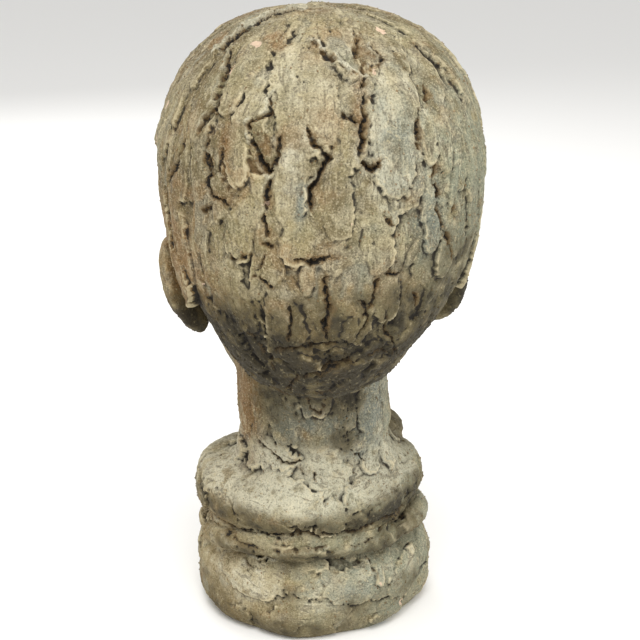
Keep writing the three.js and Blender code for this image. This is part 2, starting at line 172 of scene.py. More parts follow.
def cut(a, b, blend):
    """A form with another taken out of it, and a softly rounded edge."""
    return -join(-a, b, blend)


def smooth(x, low, high):
    """A soft step from 0, at or below low, to 1, at or above high."""
    t = np.clip((x - low) / (high - low), 0, 1)
    return t * t * (3 - 2 * t)


def scatter(i, j, k):
    """A fixed, scattered number from 0 to 1 for each whole-number place in a pattern."""
    return np.mod(np.sin(i * 127.1 + j * 311.7 + k * 74.7) * 43758.5453, 1)


def eye(p, centre, ball, lids, half_width, half_opening):
    """The ball of an eye, and the lids over it with an almond opening."""
    across = (p[:, 0] - centre[0]) / half_width
    slit = np.abs(p[:, 2] - centre[2] - across) - half_opening * (1 - across * across)
    return np.minimum(ellipsoid(p, centre, ball), cut(ellipsoid(p, centre, lids), slit, 1.5))


SKULL = [0, 12, 28], [77, 84, 86]
FACE_PARTS = {  # added or cut away, blend, one or a pair, shape, then the shape's own places and radii
    "forehead": (join, 20, "one", ellipsoid, [0, -25, 20], [64, 56, 52]),
    "upper jaw": (join, 16, "one", ellipsoid, [0, -27, -30], [58, 50, 58]),
    "lower jaw": (join, 14, "one", ellipsoid, [0, -36, -60], [41, 40, 31]),
    "chin": (join, 14, "one", ellipsoid, [0, -67, -78], [16, 15, 12]),
    "cheek": (join, 14, "pair", ellipsoid, [31, -55, -32], [22, 20, 24]),
    "swell behind the lips": (join, 12, "one", ellipsoid, [0, -66, -52], [25, 18, 20]),
    "brow": (join, 10, "pair", rod, [12, -77, 14], [42, -62, 15], 5),
    "eye socket": (cut, 10, "pair", ellipsoid, [30, -87, 1], [20, 17, 12]),
    "eye": (join, 2, "pair", eye, [29, -60, -3], [15, 14, 13], [19, 17.5, 16], 16, 6),
    "bridge of the nose": (join, 9, "one", rod, [0, -75, 6], [0, -91, -27], 5, 8),
    "tip of the nose": (join, 4, "one", ellipsoid, [0, -92, -29], [7.5, 8, 7]),
    "side of the nose": (join, 4, "pair", ellipsoid, [9, -85, -31], [6, 8.5, 6]),
    "nostril": (cut, 2, "pair", ellipsoid, [5.2, -90, -37.5], [2.6, 4, 3.2]),
    "upper lip": (join, 6, "pair", rod, [4, -83.5, -50.5], [20, -74, -54], 3.6, 1.6),
    "lower lip": (join, 5, "pair", rod, [0, -82.5, -58.5], [18, -74.5, -56], 4.8, 1.8),
    "line between the lips": (cut, 3, "pair", rod, [0, -88.6, -54.6], [22, -77.2, -55.4], 1.9, 1.3),
    "groove over the lips": (cut, 4, "one", rod, [0, -90, -41], [0, -90, -47], 2),
}


def face_form(p):
    """Signed distance to the face: round masses added to the skull one by one, or cut from it."""
    mirrored = p.copy()
    mirrored[:, 0] = np.abs(p[:, 0])
    d = ellipsoid(p, *SKULL)
    for meet, blend, number, shape, *sizes in FACE_PARTS.values():
        d = meet(d, shape(mirrored if number == "pair" else p, *sizes), blend)
    return d


EAR_PLACE = (69, 6, -14)  # of an ear on the +X side, in the head's frame
EAR_TURN, EAR_TILT = 0.4, 0.18


def ear_frame(p, stand_off, lean):
    """Points in an ear's own frame: out from the head, towards the back, and up from its middle."""
    up = p[:, 2] - EAR_PLACE[2]
    out, back = p[:, 0] - EAR_PLACE[0] - stand_off - lean * up, p[:, 1] - EAR_PLACE[1]
    across = out * np.cos(EAR_TURN) - back * np.sin(EAR_TURN)
    along = out * np.sin(EAR_TURN) + back * np.cos(EAR_TURN)
    return np.stack([across, along, up - EAR_TILT * along], 1)


def ear_form(q):
    """An ear on the +X side: a shell with a lobe, hollowed in front, and the flap before the hollow."""
    shell, lobe = ellipsoid(q, [0, 4, 0], [6.5, 17, 25]), ellipsoid(q, [-1, -2, -19], [5.5, 9, 9])
    hollow, flap = ellipsoid(q, [7, 2, 3], [5.5, 10, 15]), ellipsoid(q, [2, -6, -4], [3.5, 4, 7])
    return join(cut(join(shell, lobe, 6), hollow, 3), flap, 4)


def hair_place(p):
    """Longitude from the middle of the back, positive to the figure's left, and latitude, in degrees."""
    x, y, z = (p - HAIR_CENTRE).T
    return np.degrees(np.arctan2(x, y)), np.degrees(np.arctan2(z, np.hypot(x, y)))


FRINGE_EDGE = 38  # over eye level
FRINGE_RAGGED = 5
LOCK_DEGREES = 9
EDGE_STEPS = [  # from and to how many degrees off the middle of the back, and rise
    (150, 128, -16),  # down at the temple
    (124, 108, -18),  # down to the lock before the ear
    (104, 94, 20),  # up over the ear
    (84, 46, -94),  # down the fall behind it and on to the nape
]


def hair_edge(longitude):
    """Height of the hair's lower edge: a ragged fringe, a lock before each ear and a fall behind it."""
    edge = FRINGE_EDGE + FRINGE_RAGGED * scatter(np.floor((longitude + 180) / LOCK_DEGREES), 0, 6)
    for start, end, rise in EDGE_STEPS:
        edge = edge + rise * smooth(-np.abs(longitude), -start, -end)
    return edge


FRINGE_MASS = [0, -19, 34], [66, 66, 78]
NAPE_MASS = [5, 24, -5], [57, 64, 62]


def hair_form(p):
    """The cap of hair without its strips, cut off along its lower edge."""
    above_centre = HAIR_TOP - HAIR_CENTRE[2] - 2
    crown = ellipsoid(p, HAIR_CENTRE, [HAIR_BREADTH / 2 - 6, HAIR_DEPTH / 2 - 6, above_centre], 2.3)
    mass = join(crown, ellipsoid(p, *FRINGE_MASS), 12)
    mass = join(mass, ellipsoid(p, *NAPE_MASS), 24) - 2
    return cut(mass, 0.4 * (p[:, 2] - hair_edge(hair_place(p)[0])), 3)


def winding(x, turn):
    """How far the collar and its thin roll dip below their own level, at a turn round the bust."""
    return 0.04 * x - 4 * np.cos(turn) - 1.2 * np.sin(3 * turn + 0.5)


NECK_LINE = [2, 0, 70], [1, 2, 106], [3, 4, 170]  # from inside the collar up into the head
KNOB = [-37, -30, 91], [12, 15, 13]  # a lump of clay on the right shoulder of the collar


def body_form(p):
    """Neck, rolled collar and low round base, with a thin roll that winds up and down between the two."""
    turn = np.arctan2(p[:, 0], p[:, 1])
    unevenness = 1.2 * np.sin(3 * turn + 1) + 0.8 * np.sin(7 * turn)
    wound = p.copy()
    wound[:, 2] += winding(p[:, 0], turn)
    half_width, half_depth = BASE_WIDTH / 2, BASE_DEPTH / 2
    base_half, collar_half = (BASE_TOP + BASE_SUNK) / 2, (COLLAR_TOP - COLLAR_FOOT) / 2
    base_middle, collar_middle = base_half - BASE_SUNK, COLLAR_TOP - collar_half
    base = cake(p, [*BASE_PLACE, base_middle], [half_width, half_depth], base_half, BASE_RIM)
    roll_size, collar_size = [half_width - 2, half_depth - 3], [half_width - 3, half_depth - 3]
    roll = cake(wound, [*ROLL_PLACE, ROLL_LEVEL], roll_size, ROLL_HALF, ROLL_HALF)
    collar = cake(wound, [*COLLAR_PLACE, collar_middle], collar_size, collar_half, collar_half - 1)
    d = join(join(base, roll, 2), collar, 3) - unevenness
    foot, middle, top = NECK_LINE
    d = join(d, rod(p, foot, middle, NECK_RADIUS + 7, NECK_RADIUS), 9)
    d = join(d, rod(p, middle, top, NECK_RADIUS), 6)
    return join(d, ellipsoid(p, *KNOB), 5)


def in_head(p):
    """Points in the head's own frame, at eye level midway between the ears."""
    c, s = np.cos(HEAD_TURN), np.sin(HEAD_TURN)
    return np.stack([p[:, 0] * c + p[:, 1] * s, p[:, 1] * c - p[:, 0] * s, p[:, 2] - EYE_HEIGHT], 1)


EARS = {1: (2, 0.2), -1: (-3, 0)}  # the side that it is on: how far it stands off, and its lean


def areas(p):
    """Distance to each area of the form: face, ears, hair, and body."""
    q = in_head(p - STAND_OFF)
    shells = [ear_form(ear_frame(q * [side, 1, 1], *held)) for side, held in EARS.items()]
    return face_form(q), np.where(q[:, 0] > 0, *shells), hair_form(q), body_form(p - STAND_OFF)


def bust_form(p):
    face, ears, hair, body = areas(p)
    return join(join(join(face, ears, 4), hair, 2), body, 8)


MM = 0.001
ROUGH_VOXEL = 2.5 * MM
VOXEL = 0.7 * MM
LONGEST_STEP = 1.5  # millimetres that a point moves towards the form in one round
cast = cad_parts["bust"]
bust = bpy.data.objects.new("plaster_bust", cast.data.copy())
bpy.context.scene.collection.objects.link(bust)


def make_plain(piece):
    """Makes the result of a piece's modifiers its plain mesh."""
    result = bpy.data.meshes.new_from_object(piece.evaluated_get(bpy.context.evaluated_depsgraph_get()))
    piece.modifiers.clear()
    piece.data = result


def apply_modifier(piece, kind, **settings):
    """Puts one modifier on a piece and makes its result the piece's plain mesh."""
    modifier = piece.modifiers.new(kind.lower(), kind)
    for name, value in settings.items():
        setattr(modifier, name, value)
    make_plain(piece)


def read(elements, name, width, kind=float):
    """One property of a mesh's points, edges or normals, as an array with a row for each."""
    values = np.empty(len(elements) * width, kind)
    elements.foreach_get(name, values)
    return values.reshape(-1, width)


def drawn_to_form(piece, rounds):
    """The piece's points, in millimetres, after moving them on to the smooth form step by step."""
    points = read(piece.data.vertices, "co", 3) / MM
    for _ in range(rounds):
        normal = read(piece.data.vertex_normals, "vector", 3)
        points -= np.clip(bust_form(points), -LONGEST_STEP, LONGEST_STEP)[:, None] * normal
        points[:, 2] = np.maximum(points[:, 2], 0)
        piece.data.vertices.foreach_set("co", (points * MM).ravel())
        piece.data.update()
    return points


# A coarse mesh of the solid loses its strips and crevices and settles on the smooth form. The fine
# mesh is made of that one.
apply_modifier(bust, "WELD", merge_threshold=1e-6)
apply_modifier(bust, "REMESH", mode="VOXEL", voxel_size=ROUGH_VOXEL)
apply_modifier(bust, "SMOOTH", factor=0.5, iterations=12)
drawn_to_form(bust, rounds=5)
apply_modifier(bust, "SMOOTH", factor=0.5, iterations=3)
drawn_to_form(bust, rounds=4)
apply_modifier(bust, "REMESH", mode="VOXEL", voxel_size=VOXEL)
skin = drawn_to_form(bust, rounds=2)


# The clay of the model: strips thumbed down over the hair, dabs pressed on round the neck and base,
# and a plainer, smoothed face. The plaster has taken every strip, torn edge and thumb mark.
edges = read(bust.data.edges, "vertices", 2, np.int32)
neighbours = np.bincount(edges.ravel(), minlength=len(skin))


def relaxed(values, rounds):
    """Values at the points, each averaged with its neighbours again and again."""
    start, end = edges.T
    for _ in range(rounds):
        sums = [np.bincount(start, v[end], len(v)) + np.bincount(end, v[start], len(v)) for v in values.T]
        values = np.stack(sums, 1) / neighbours[:, None]
    return values


def sunk(points, rounds):
    """How far each point lies below its smoothed surroundings, in millimetres."""
    return ((relaxed(points, rounds) - points) * normal).sum(1)


normal = relaxed(read(bust.data.vertex_normals, "vector", 3), rounds=4)
normal /= np.linalg.norm(normal, axis=1)[:, None]
face, ears, hair, body = areas(skin)
AREA = {  # each area's share of every point, which fades out over a few millimetres
    "hair": 1 - smooth(hair, 0.3, 2.5),
    "body": 1 - smooth(body, 0.3, 3),
    "ears": 1 - smooth(ears, 0.3, 2),
    "face": 1 - smooth(face, 0.3, 3),
}
in_head_frame = in_head(skin - STAND_OFF)
longitude, latitude = hair_place(in_head_frame)
turn = np.degrees(np.arctan2(skin[:, 0], skin[:, 1]))
standing = skin[:, 2]


def wobble(grain, seed):
    """Smooth noise from about -1 to 1 at every point, with bumps about one grain apart."""
    return np.array([noise.noise(Vector(p)) for p in (skin / grain + 31.7 * seed).tolist()]) * 1.6


COARSE_GRAIN, FINE_GRAIN, GRIT_GRAIN = 7, 2.6, 1.5
COARSE = [wobble(COARSE_GRAIN, seed) for seed in (1, 2, 3)]
FINE = [wobble(FINE_GRAIN, seed) for seed in (4, 5, 6)]
GRIT = wobble(GRIT_GRAIN, 7)
tree = kdtree.KDTree(len(skin))
for n, point in enumerate(skin.tolist()):
    tree.insert(point, n)
tree.balance()
SEED = 12
chance = np.random.default_rng(SEED)

height = np.zeros(len(skin))  # how far the clay stands over the smooth form, in millimetres
tone = np.zeros(len(skin))  # paler or darker than the rest, from -1 to 1
grey = np.zeros(len(skin))  # bluish-grey skin of the patina
crumb = np.zeros(len(skin))  # loose, brown and granular
rubbed = np.zeros(len(skin))  # pushed-up lips, rubbed pale
gap = np.full(len(skin), -9.0)  # how far inside the nearest crevice's opening, in millimetres
stroke = np.stack([skin[:, 0], skin[:, 2], 0 * standing], 1)  # across and along the last thumb mark


def across_and_along(at, direction):
    """Unit vectors on the surface at a point: along a direction, and across it."""
    along = direction - normal[at] * (normal[at] @ direction)
    along /= max(np.linalg.norm(along), 1e-6)
    return np.cross(normal[at], along), along


DAB_SQUARENESS = 2.6  # of its outline, where 2 is an oval
DAB_REACH = 0.62  # of its diagonal, to take in a ragged rim
DAB_LIP = 1.2  # millimetres from the rim to the crest of its raised lip
STEEP_END, THIN_END = 0.6, 3.6  # millimetres over which the rim rises at either end
DRAG_DEPTH = 0.05


def dab(at, direction, length, width, thickness, area, shade, blue=0.0, rough=0.2, keep=0.3):
    """One dab of clay, smeared from a thin end to a thick one with a torn rim and fine drag marks.

    Its shade runs from dark, at -1, to pale, at 1. What lay there before shows through by the share
    to keep. A dab of negative thickness is a place where clay came away, and its floor is crumbly.
    """
    across, along = across_and_along(at, direction)
    near = np.array([n for _, n, _ in tree.find_range(skin[at], DAB_REACH * np.hypot(length, width))])
    offset = skin[near] - skin[at]
    a, b = offset @ across / (width / 2), offset @ along / (length / 2)
    torn = COARSE[chance.integers(3)][near] + 0.7 * FINE[chance.integers(3)][near] + 0.3 * GRIT[near]
    endways = np.abs(b) ** DAB_SQUARENESS
    distance = np.abs(a) ** DAB_SQUARENESS + endways + 1e-9
    torn *= 1 - max(0, 1 - width / length) * endways / distance  # a long strip's ends are cleaner
    rim = distance ** (1 / DAB_SQUARENESS) + rough * torn  # 0 at the middle and 1 at the edge
    thick_end = np.clip(0.5 + 0.5 * b, 0, 1)
    edge = (STEEP_END + (THIN_END - STEEP_END) * (1 - thick_end) ** 2) / (width / 2)
    same_side = normal[near] @ normal[at] > 0.2
    cover = smooth(-rim, -1, np.minimum(-1 + edge, -0.2)) * same_side * AREA[area][near]
    if cover.sum() < 3:  # it lies outside its area
        return
    level = (height[near] * cover).sum() / cover.sum()
    lift = thickness * thick_end**0.6 * (1 - 0.25 * np.clip(a * a, 0, 1))
    lift += 0.2 * thickness * np.exp(-(((1 - rim) * width / 2 - DAB_LIP) ** 2)) * smooth(b, -0.2, 0.6)
    phase = 6 * chance.random() + 0.5 * COARSE[0][near]
    drag = np.sin(a * width * 0.95 + phase) + 0.6 * np.sin(a * width * 1.6 + 2.3 * phase)
    fresh = level + lift + DRAG_DEPTH * drag + keep * (height[near] - level)
    height[near] += cover * (fresh - height[near])
    tone[near] += cover * (shade - tone[near])
    grey[near] += cover * (blue - grey[near])
    crumb[near] += cover * ((thickness < 0) - crumb[near])
    gap[near] -= 3 * cover  # fresh clay closes what was open under it
    own_grain = np.full(len(near), 40 * chance.random())
    new_stroke = np.stack([a * width / 2, b * length / 2, own_grain], 1)
    stroke[near] = np.where(cover[:, None] > 0.5, new_stroke, stroke[near])


DOWN = np.array([0, 0, -1.0])


def turned(at, direction, degrees):
    """A direction on the surface at a point, turned about the normal there."""
    across, along = across_and_along(at, direction)
    return np.cos(np.radians(degrees)) * along + np.sin(np.radians(degrees)) * across


# The underlying strips of hair, by the rule that lays them on the solid, a little slumped.
STRIP_COLUMNS = 24
STRIP_DEGREES = 42
STRIP_THICKNESS = 7
SLUMPED = 0.45
u = (longitude + 180) / 360 * STRIP_COLUMNS
top = np.zeros(len(skin))
for i in (np.floor(u) + step for step in (-1, 0, 1)):
    column = np.mod(i, STRIP_COLUMNS)
    v = latitude / STRIP_DEGREES + scatter(column, 0, 1)
    for j in (np.floor(v) + step for step in (-1, 0, 1)):
        shift = 0.5 * scatter(column, j, 2) - 0.25
        across = (u - i - 0.5 - shift) / (0.5 + 0.25 * scatter(column, j, 3))
        along = (v - j - 0.5) / (0.55 + 0.2 * scatter(column, j, 4))
        rim = (across**4 + along**4) ** 0.25 + 0.1 * COARSE[0] + 0.05 * FINE[0]
        pad = STRIP_THICKNESS * (0.4 + 0.6 * scatter(column, j, 5)) * (0.85 - 0.4 * along)
        top = np.maximum(top, pad * smooth(-rim, -1, -0.85))
stripped = smooth(-latitude, -84, -66) * smooth(latitude, -52, -20) * AREA["hair"]
height += SLUMPED * (top - STRIP_THICKNESS / 2) * stripped

belt = standing - ROLL_LEVEL + winding(skin[:, 0], np.radians(turn))
AREA["belt"] = AREA["body"] * smooth(-np.abs(belt), -10, -6)
AREA["neck"] = AREA["body"] * smooth(standing, 106, 112)
AREA["stand"] = AREA["body"] - AREA["neck"]
over_fringe = standing - (EYE_HEIGHT + FRINGE_EDGE - 4)
AREA["fringe"] = AREA["hair"] * smooth(-np.abs(over_fringe), -10, -4) * (skin[:, 1] < -20)
AREA["any"] = np.ones(len(skin))
AREA["nape"] = AREA["hair"] * smooth(-latitude, 30, 40) * smooth(-np.abs(longitude), -60, -40)
LAYERS = [  # area, dabs, length, width, thickness, way, spread of the way in degrees
    ("hair", 420, (30, 64), (8, 17), (0.7, 1.6), "down", 8),
    ("hair", 260, (14, 30), (5, 9), (0.4, 1.1), "down", 16),
    ("hair", 160, (4, 9), (3, 5), (0.3, 0.8), "down", 50),
    ("stand", 110, (24, 46), (14, 22), (0.6, 1.7), "round", 24),
    ("stand", 90, (10, 24), (7, 12), (0.3, 0.9), "round", 50),
    ("stand", 70, (4, 9), (3, 5), (0.3, 0.8), "round", 90),
    ("belt", 60, (20, 50), (7, 12), (1.0, 2.4), "round", 14),
    ("neck", 46, (30, 60), (10, 18), (0.3, 0.9), "down", 8),
    ("neck", 8, (6, 14), (4, 7), (0.3, 0.6), "down", 40),
    ("nape", 80, (14, 32), (7, 12), (0.8, 1.9), "down", 48),
    ("face", 170, (14, 28), (9, 16), (0.15, 0.35), "down", 70),
    ("ears", 60, (8, 18), (5, 8), (0.15, 0.45), "down", 40),
    ("fringe", 40, (12, 26), (7, 12), (0.8, 1.8), "down", 12),
]
LEVEL = {"hair": 0.6, "body": 0.2, "face": 0, "ears": 0}  # mean height of each area over the form
for area, dabs, lengths, widths, thicknesses, way, spread in LAYERS:
    places = np.flatnonzero(AREA[area] > 0.6)
    for at in chance.choice(places, dabs):
        x, y, _ = skin[at]
        direction = DOWN if way == "down" else np.array([y, -x, 0.0]) * chance.choice([-1, 1])
        direction = turned(at, direction / max(np.linalg.norm(direction), 1e-6), chance.normal(0, spread))
        size = [chance.uniform(*span) for span in (lengths, widths, thicknesses)]
        blue = chance.random() if chance.random() < 0.25 else 0
        dab(at, direction, *size, area, chance.normal(0, 0.4), blue)
for area, level in LEVEL.items():
    weight = AREA[area] * (standing > 4)
    height += AREA[area] * (level - (height * weight).sum() / weight.sum())
PILED_UP = 2.2  # clay that stands higher was pressed back to this share of the rest
PRESSED_BACK = 0.35
height = np.minimum(height, PILED_UP + PRESSED_BACK * (height - PILED_UP))


# Swells and hollows, left by a hand that pressed the clay: middle, spread each way, and height.
SWELLS = [
    ((0, 22, 330), (60, 46, 26), 2.2),
    ((-64, 32, 304), (22, 40, 22), 1.2),
    ((82, 20, 262), (14, 24, 14), 2.6),
    ((80, 24, 228), (14, 30, 18), -1.2),
    ((-84, 36, 232), (16, 34, 26), -1.8),
    ((-44, 56, 168), (16, 20, 12), -3.0),
    ((44, 6, 130), (12, 24, 22), 2.2),
    ((-42, -20, 104), (10, 22, 8), -2.4),
    ((50, -10, 96), (12, 30, 8), -2.5),
    ((66, -8, 82), (8, 30, 8), 2.4),
    ((66, 6, 50), (10, 40, 7), -2.0),
    ((-62, -2, 58), (10, 40, 8), -2.0),
]
for middle, spread, swell in SWELLS:
    height += swell * np.exp(-(((skin - middle) / spread) ** 2).sum(1))


# Finer modelling of the face and ears, pressed and added in short marks. Each mark of the face is a
# course across and up from eye level, with its half breadth and height, and there is one on each side.
FACE_MARKS = [
    ([(12, 10), (22, 13.5), (36, 12), (46, 5)], 1.5, -0.8),
    ([(8, 18), (22, 24), (40, 22), (52, 14)], 3.5, 0.9),
    ([(13, -10), (28, -14.5), (42, -10)], 1.6, -0.6),
    ([(0, -41), (0, -47)], 1.7, -0.7),
    ([(1.5, -50), (7, -49.8), (19, -54)], 1.7, 1.1),
    ([(0, -60), (8, -60), (14, -57.5)], 2.8, 1.3),
    ([(0, -67.5), (9, -66.5)], 2.4, -0.9),
    ([(10, -25), (13.5, -30), (12, -36)], 1.4, -0.8),
    ([(15, -32), (24, -46)], 3.0, -0.5),
    ([(21, -54), (23, -57)], 1.6, -0.7),
]
EAR_RIM = [15, 23]  # half size of the ear along and up, to the middle of its rolled rim
EAR_MARKS = [  # how far out from the middle, as a share of the rim; half breadth and height
    (0.86, 0.13, 1.3),
    (0.66, 0.10, -1.3),
    (0.46, 0.12, 0.8),
    (0.14, 0.24, -2.0),
]
facing = smooth(-(in_head(skin + normal - STAND_OFF) - in_head_frame)[:, 1], 0.1, 0.5)
front = np.stack([np.abs(in_head_frame[:, 0]), 0 * standing, in_head_frame[:, 2]], 1)
for course, half_breadth, mark in FACE_MARKS:
    away = np.full(len(skin), 1e3)
    for (x0, z0), (x1, z1) in zip(course, course[1:]):
        away = np.minimum(away, rod(front, [x0, 0, z0], [x1, 0, z1], 0))
    height += AREA["face"] * facing * mark * np.exp(-((away / half_breadth) ** 2))
for side, held in EARS.items():
    q = ear_frame(in_head_frame * [side, 1, 1], *held)
    out = np.hypot((q[:, 1] - 3) / EAR_RIM[0], (q[:, 2] - 1) / EAR_RIM[1])
    outer = AREA["ears"] * smooth(q[:, 0], 0, 3) * (q[:, 2] > -17)
    for share, half_breadth, mark in EAR_MARKS:
        height += outer * mark * np.exp(-(((out - share) / half_breadth) ** 2))


# The strips that show most on the back of the head, laid on last: middle, in degrees of longitude
# and latitude, length, width, thickness, turn from straight down, paleness and blue.
LAST_STRIPS = [
    (96, -4, 44, 22, 2.6, 0, 0.0, 0.0),
    (80, -17, 50, 26, 5.0, 4, 0.0, 0.0),
    (70, -30, 34, 22, 4.5, 10, -0.2, 0.0),
    (-98, -8, 50, 22, 2.8, 0, 0.2, 0.3),
    (-82, -14, 50, 26, 5.0, -4, 0.1, 0.4),
    (-72, -28, 38, 22, 4.5, -10, -0.1, 0.2),
    (52, 32, 50, 18, 1.2, 0, 0.0, 0.0),
    (21, 40, 46, 20, 1.3, 4, 0.5, 0.0),
    (12, 32, 54, 25, 1.0, -2, 0.6, 0.0),
    (-27, 20, 32, 11, 1.2, 0, 0.3, 0.4),
    (-45, 20, 52, 14, 1.2, 3, 0.2, 0.3),
    (-56, 5, 46, 12, 1.2, 3, 0.0, 0.2),
    (60, 8, 36, 14, 1.4, 0, -0.1, 0.0),
    (-14, 19, 52, 23, 1.1, 0, 0.5, 0.8),
    (32, 27, 26, 16, 1.9, -8, 0.5, 0.0),
    (36, 15, 34, 13, 1.9, 5, 0.5, 0.1),
    (18, 8, 46, 17, 1.6, 0, 0.5, 0.1),
    (4, 2, 40, 15, 1.4, 0, 0.2, 0.2),
    (35, -9, 30, 16, 1.5, 6, 0.1, 0.0),
    (16, -10, 26, 17, 1.3, -8, 0.2, 0.0),
    (-10, -15, 22, 15, 1.5, 0, 0.1, 0.1),
    (-28, -8, 30, 11, 2.0, 0, 0.2, 1.0),
    (-35, -15, 36, 13, 2.2, -6, 0.1, 0.3),
    (28, 16, 22, 12, -1.8, 0, -0.4, 0.0),
    (-10, 48, 14, 13, -0.9, 10, -0.9, 0.3),
    (0, 47, 32, 12, 1.8, 14, 0.4, 0.9),
    (36, -33, 28, 14, 1.6, 8, -0.3, 0.0),
    (20, -35, 28, 16, 1.5, 4, -0.2, 0.0),
    (2, -34, 28, 16, 1.6, 0, -0.2, 0.1),
    (-13, -29, 28, 15, 2.2, 6, 0.1, 0.3),
]
# The same for the neck, collar and base: turn round the upright axis from the middle of the back, in
# degrees, and height.
LAST_DABS = [
    (80, 95, 30, 18, 3.6, 90, 0.4, 0.0),
    (62, 140, 64, 15, 0.8, 0, -0.2, 0.0),
    (28, 132, 54, 18, 0.8, 8, 0.0, 0.3),
    (-40, 138, 58, 16, 1.0, 0, 0.3, 0.8),
    (2, 139, 27, 15, 1.5, 0, -0.1, 0.5),
    (33, 104, 28, 16, 2.0, 66, 0.7, 0.0),
    (50, 101, 22, 15, 1.2, 30, 0.5, 0.0),
    (-58, 98, 20, 9, 3.0, 5, 0.5, 0.0),
    (-42, 100, 22, 12, 2.0, -30, 0.6, 0.2),
    (22, 84, 46, 24, 1.5, 80, 0.8, 0.1),
    (-6, 74, 24, 20, 2.2, 10, 0.7, 0.0),
    (-30, 84, 30, 16, 1.6, -70, 0.5, 0.2),
    (64, 86, 34, 22, 1.4, -60, 0.5, 0.0),
    (40, 36, 44, 22, 1.1, 80, 0.7, 0.0),
    (8, 44, 24, 12, 2.0, 80, 0.6, 0.0),
    (-22, 31, 34, 20, 1.1, -76, 0.4, 0.7),
    (-38, 37, 18, 7, 2.4, -10, 0.5, 0.0),
    (-60, 26, 36, 20, 1.1, -80, 0.3, 0.3),
    (-66, 52, 30, 9, 1.8, 8, 0.5, 0.0),
    (-54, 50, 26, 8, 1.4, -14, 0.4, 0.0),
]
# Leaf-like strips laid across the nape, over the lower edge of the hair, in the same columns. They are laid
# dark, partly as darker clay and partly as painted shade under the overhanging hair.
NAPE_STRIPS = [
    (34, 186, 36, 16, 2.0, 40, -0.4, 0.0),
    (-34, 184, 36, 14, 2.2, -40, -0.4, 0.1),
    (12, 186, 26, 17, 2.0, 0, -0.4, 0.0),
    (-12, 194, 24, 13, 2.2, -10, -0.4, 0.0),
    (-20, 178, 34, 11, 2.6, -66, -0.5, 0.0),
    (30, 172, 36, 13, 2.4, 52, -0.6, 0.0),
    (8, 174, 28, 11, 2.4, 70, -0.6, 0.1),
    (-8, 168, 26, 9, 2.4, -70, -0.4, 0.0),
    (24, 162, 24, 10, 2.0, 30, -0.6, 0.2),
    (-24, 166, 24, 9, 2.2, -50, -0.5, 0.1),
    (10, 156, 18, 10, 1.8, 14, -0.3, 0.5),
    (-10, 156, 20, 10, 1.8, -20, -0.2, 0.3),
]
from_axis = np.hypot(skin[:, 0], skin[:, 1])


def on_body(around, up):
    """The point of the skin at a turn and height of the neck, collar or base."""
    off_turn = np.abs((turn - around + 180) % 360 - 180)
    return int(np.argmin(off_turn + 0.7 * np.abs(standing - up) - 0.05 * from_axis))


# Crevices left open between the strips on the back of the head: their course in degrees of longitude
# and latitude, half width, depth and how high the clay that was pushed aside stands along one lip.
CREVICES = [
    ([(26, 32), (26, 27), (33, 23)], 0.8, 2.0, 0.7),
    ([(33, 23), (31, 19), (28, 13), (25, 9)], 1.0, 2.8, 0.9),
    ([(25, 9), (26, 2), (26, -4), (26, -10)], 1.1, 2.6, 0.3),
    ([(22, 20), (23, 14), (25, 9)], 1.2, 3.0, 0.2),
    ([(13, 23), (11, 18), (7, 14), (10, 9), (12, 4), (13, -1)], 1.0, 2.8, 0.3),
    ([(-11, 58), (-6, 44), (-7, 39), (-6, 31)], 0.7, 2.0, 0.4),
    ([(-6, 33), (-4, 23), (-3, 17), (-4, 12), (-7, 10), (-9, 12)], 1.2, 2.8, 0.5),
    ([(2, 27), (-2, 24)], 1.1, 3.2, 0.0),
    ([(55, 47), (49, 39), (47, 28), (51, 20)], 1.4, 3.0, 0.5),
    ([(47, 17), (46, 8), (44, 2), (38, -2)], 1.1, 2.4, 0.3),
    ([(14, 78), (46, 74), (56, 67), (59, 61), (61, 54), (63, 47)], 1.6, 2.6, 2.4),
    ([(60, 16), (61, 9), (69, 1)], 1.3, 2.8, 0.0),
    ([(48, -4), (43, -2)], 0.7, 1.9, 0.0),
    ([(-7, 39), (-2, 40), (4, 46), (14, 53)], 0.2, 0.4, 1.5),
    ([(-16, 51), (-17, 45), (-12, 43)], 0.8, 1.6, 0.6),
    ([(-32, 35), (-29, 29)], 0.7, 2.2, 0.0),
    ([(-25, 27), (-23, 22), (-22, 15)], 0.7, 2.2, 0.0),
    ([(-28, 10), (-29, -3), (-32, -10), (-38, -21)], 0.8, 2.2, 0.3),
    ([(17, -17), (12, -17), (5, -16)], 0.9, 2.6, 0.4),
    ([(8, -22), (7, -30), (8, -36)], 1.0, 2.6, 0.0),
    ([(-9, -24), (-6, -32)], 1.1, 2.6, 0.0),
    ([(26, -16), (28, -20), (32, -23)], 0.6, 1.9, 0.0),
    ([(29, -22), (25, -25)], 0.6, 1.8, 0.0),
    ([(27, -12), (24, -12)], 0.7, 1.8, 0.0),
    ([(38, -18), (32, -16)], 0.7, 1.9, 0.0),
    ([(-11, -4), (-15, -10)], 0.6, 1.8, 0.0),
    ([(-12, -22), (-17, -23)], 0.7, 1.9, 0.0),
    ([(-36, -1), (-37, -8)], 0.7, 1.9, 0.0),
    ([(-24, -30), (-27, -36)], 0.7, 1.9, 0.0),
    ([(40, 18), (41, 9), (37, 2)], 0.4, 1.0, 0.3),
    ([(-30, 56), (-33, 53), (-34, 50)], 0.9, 2.7, 0.4),
]
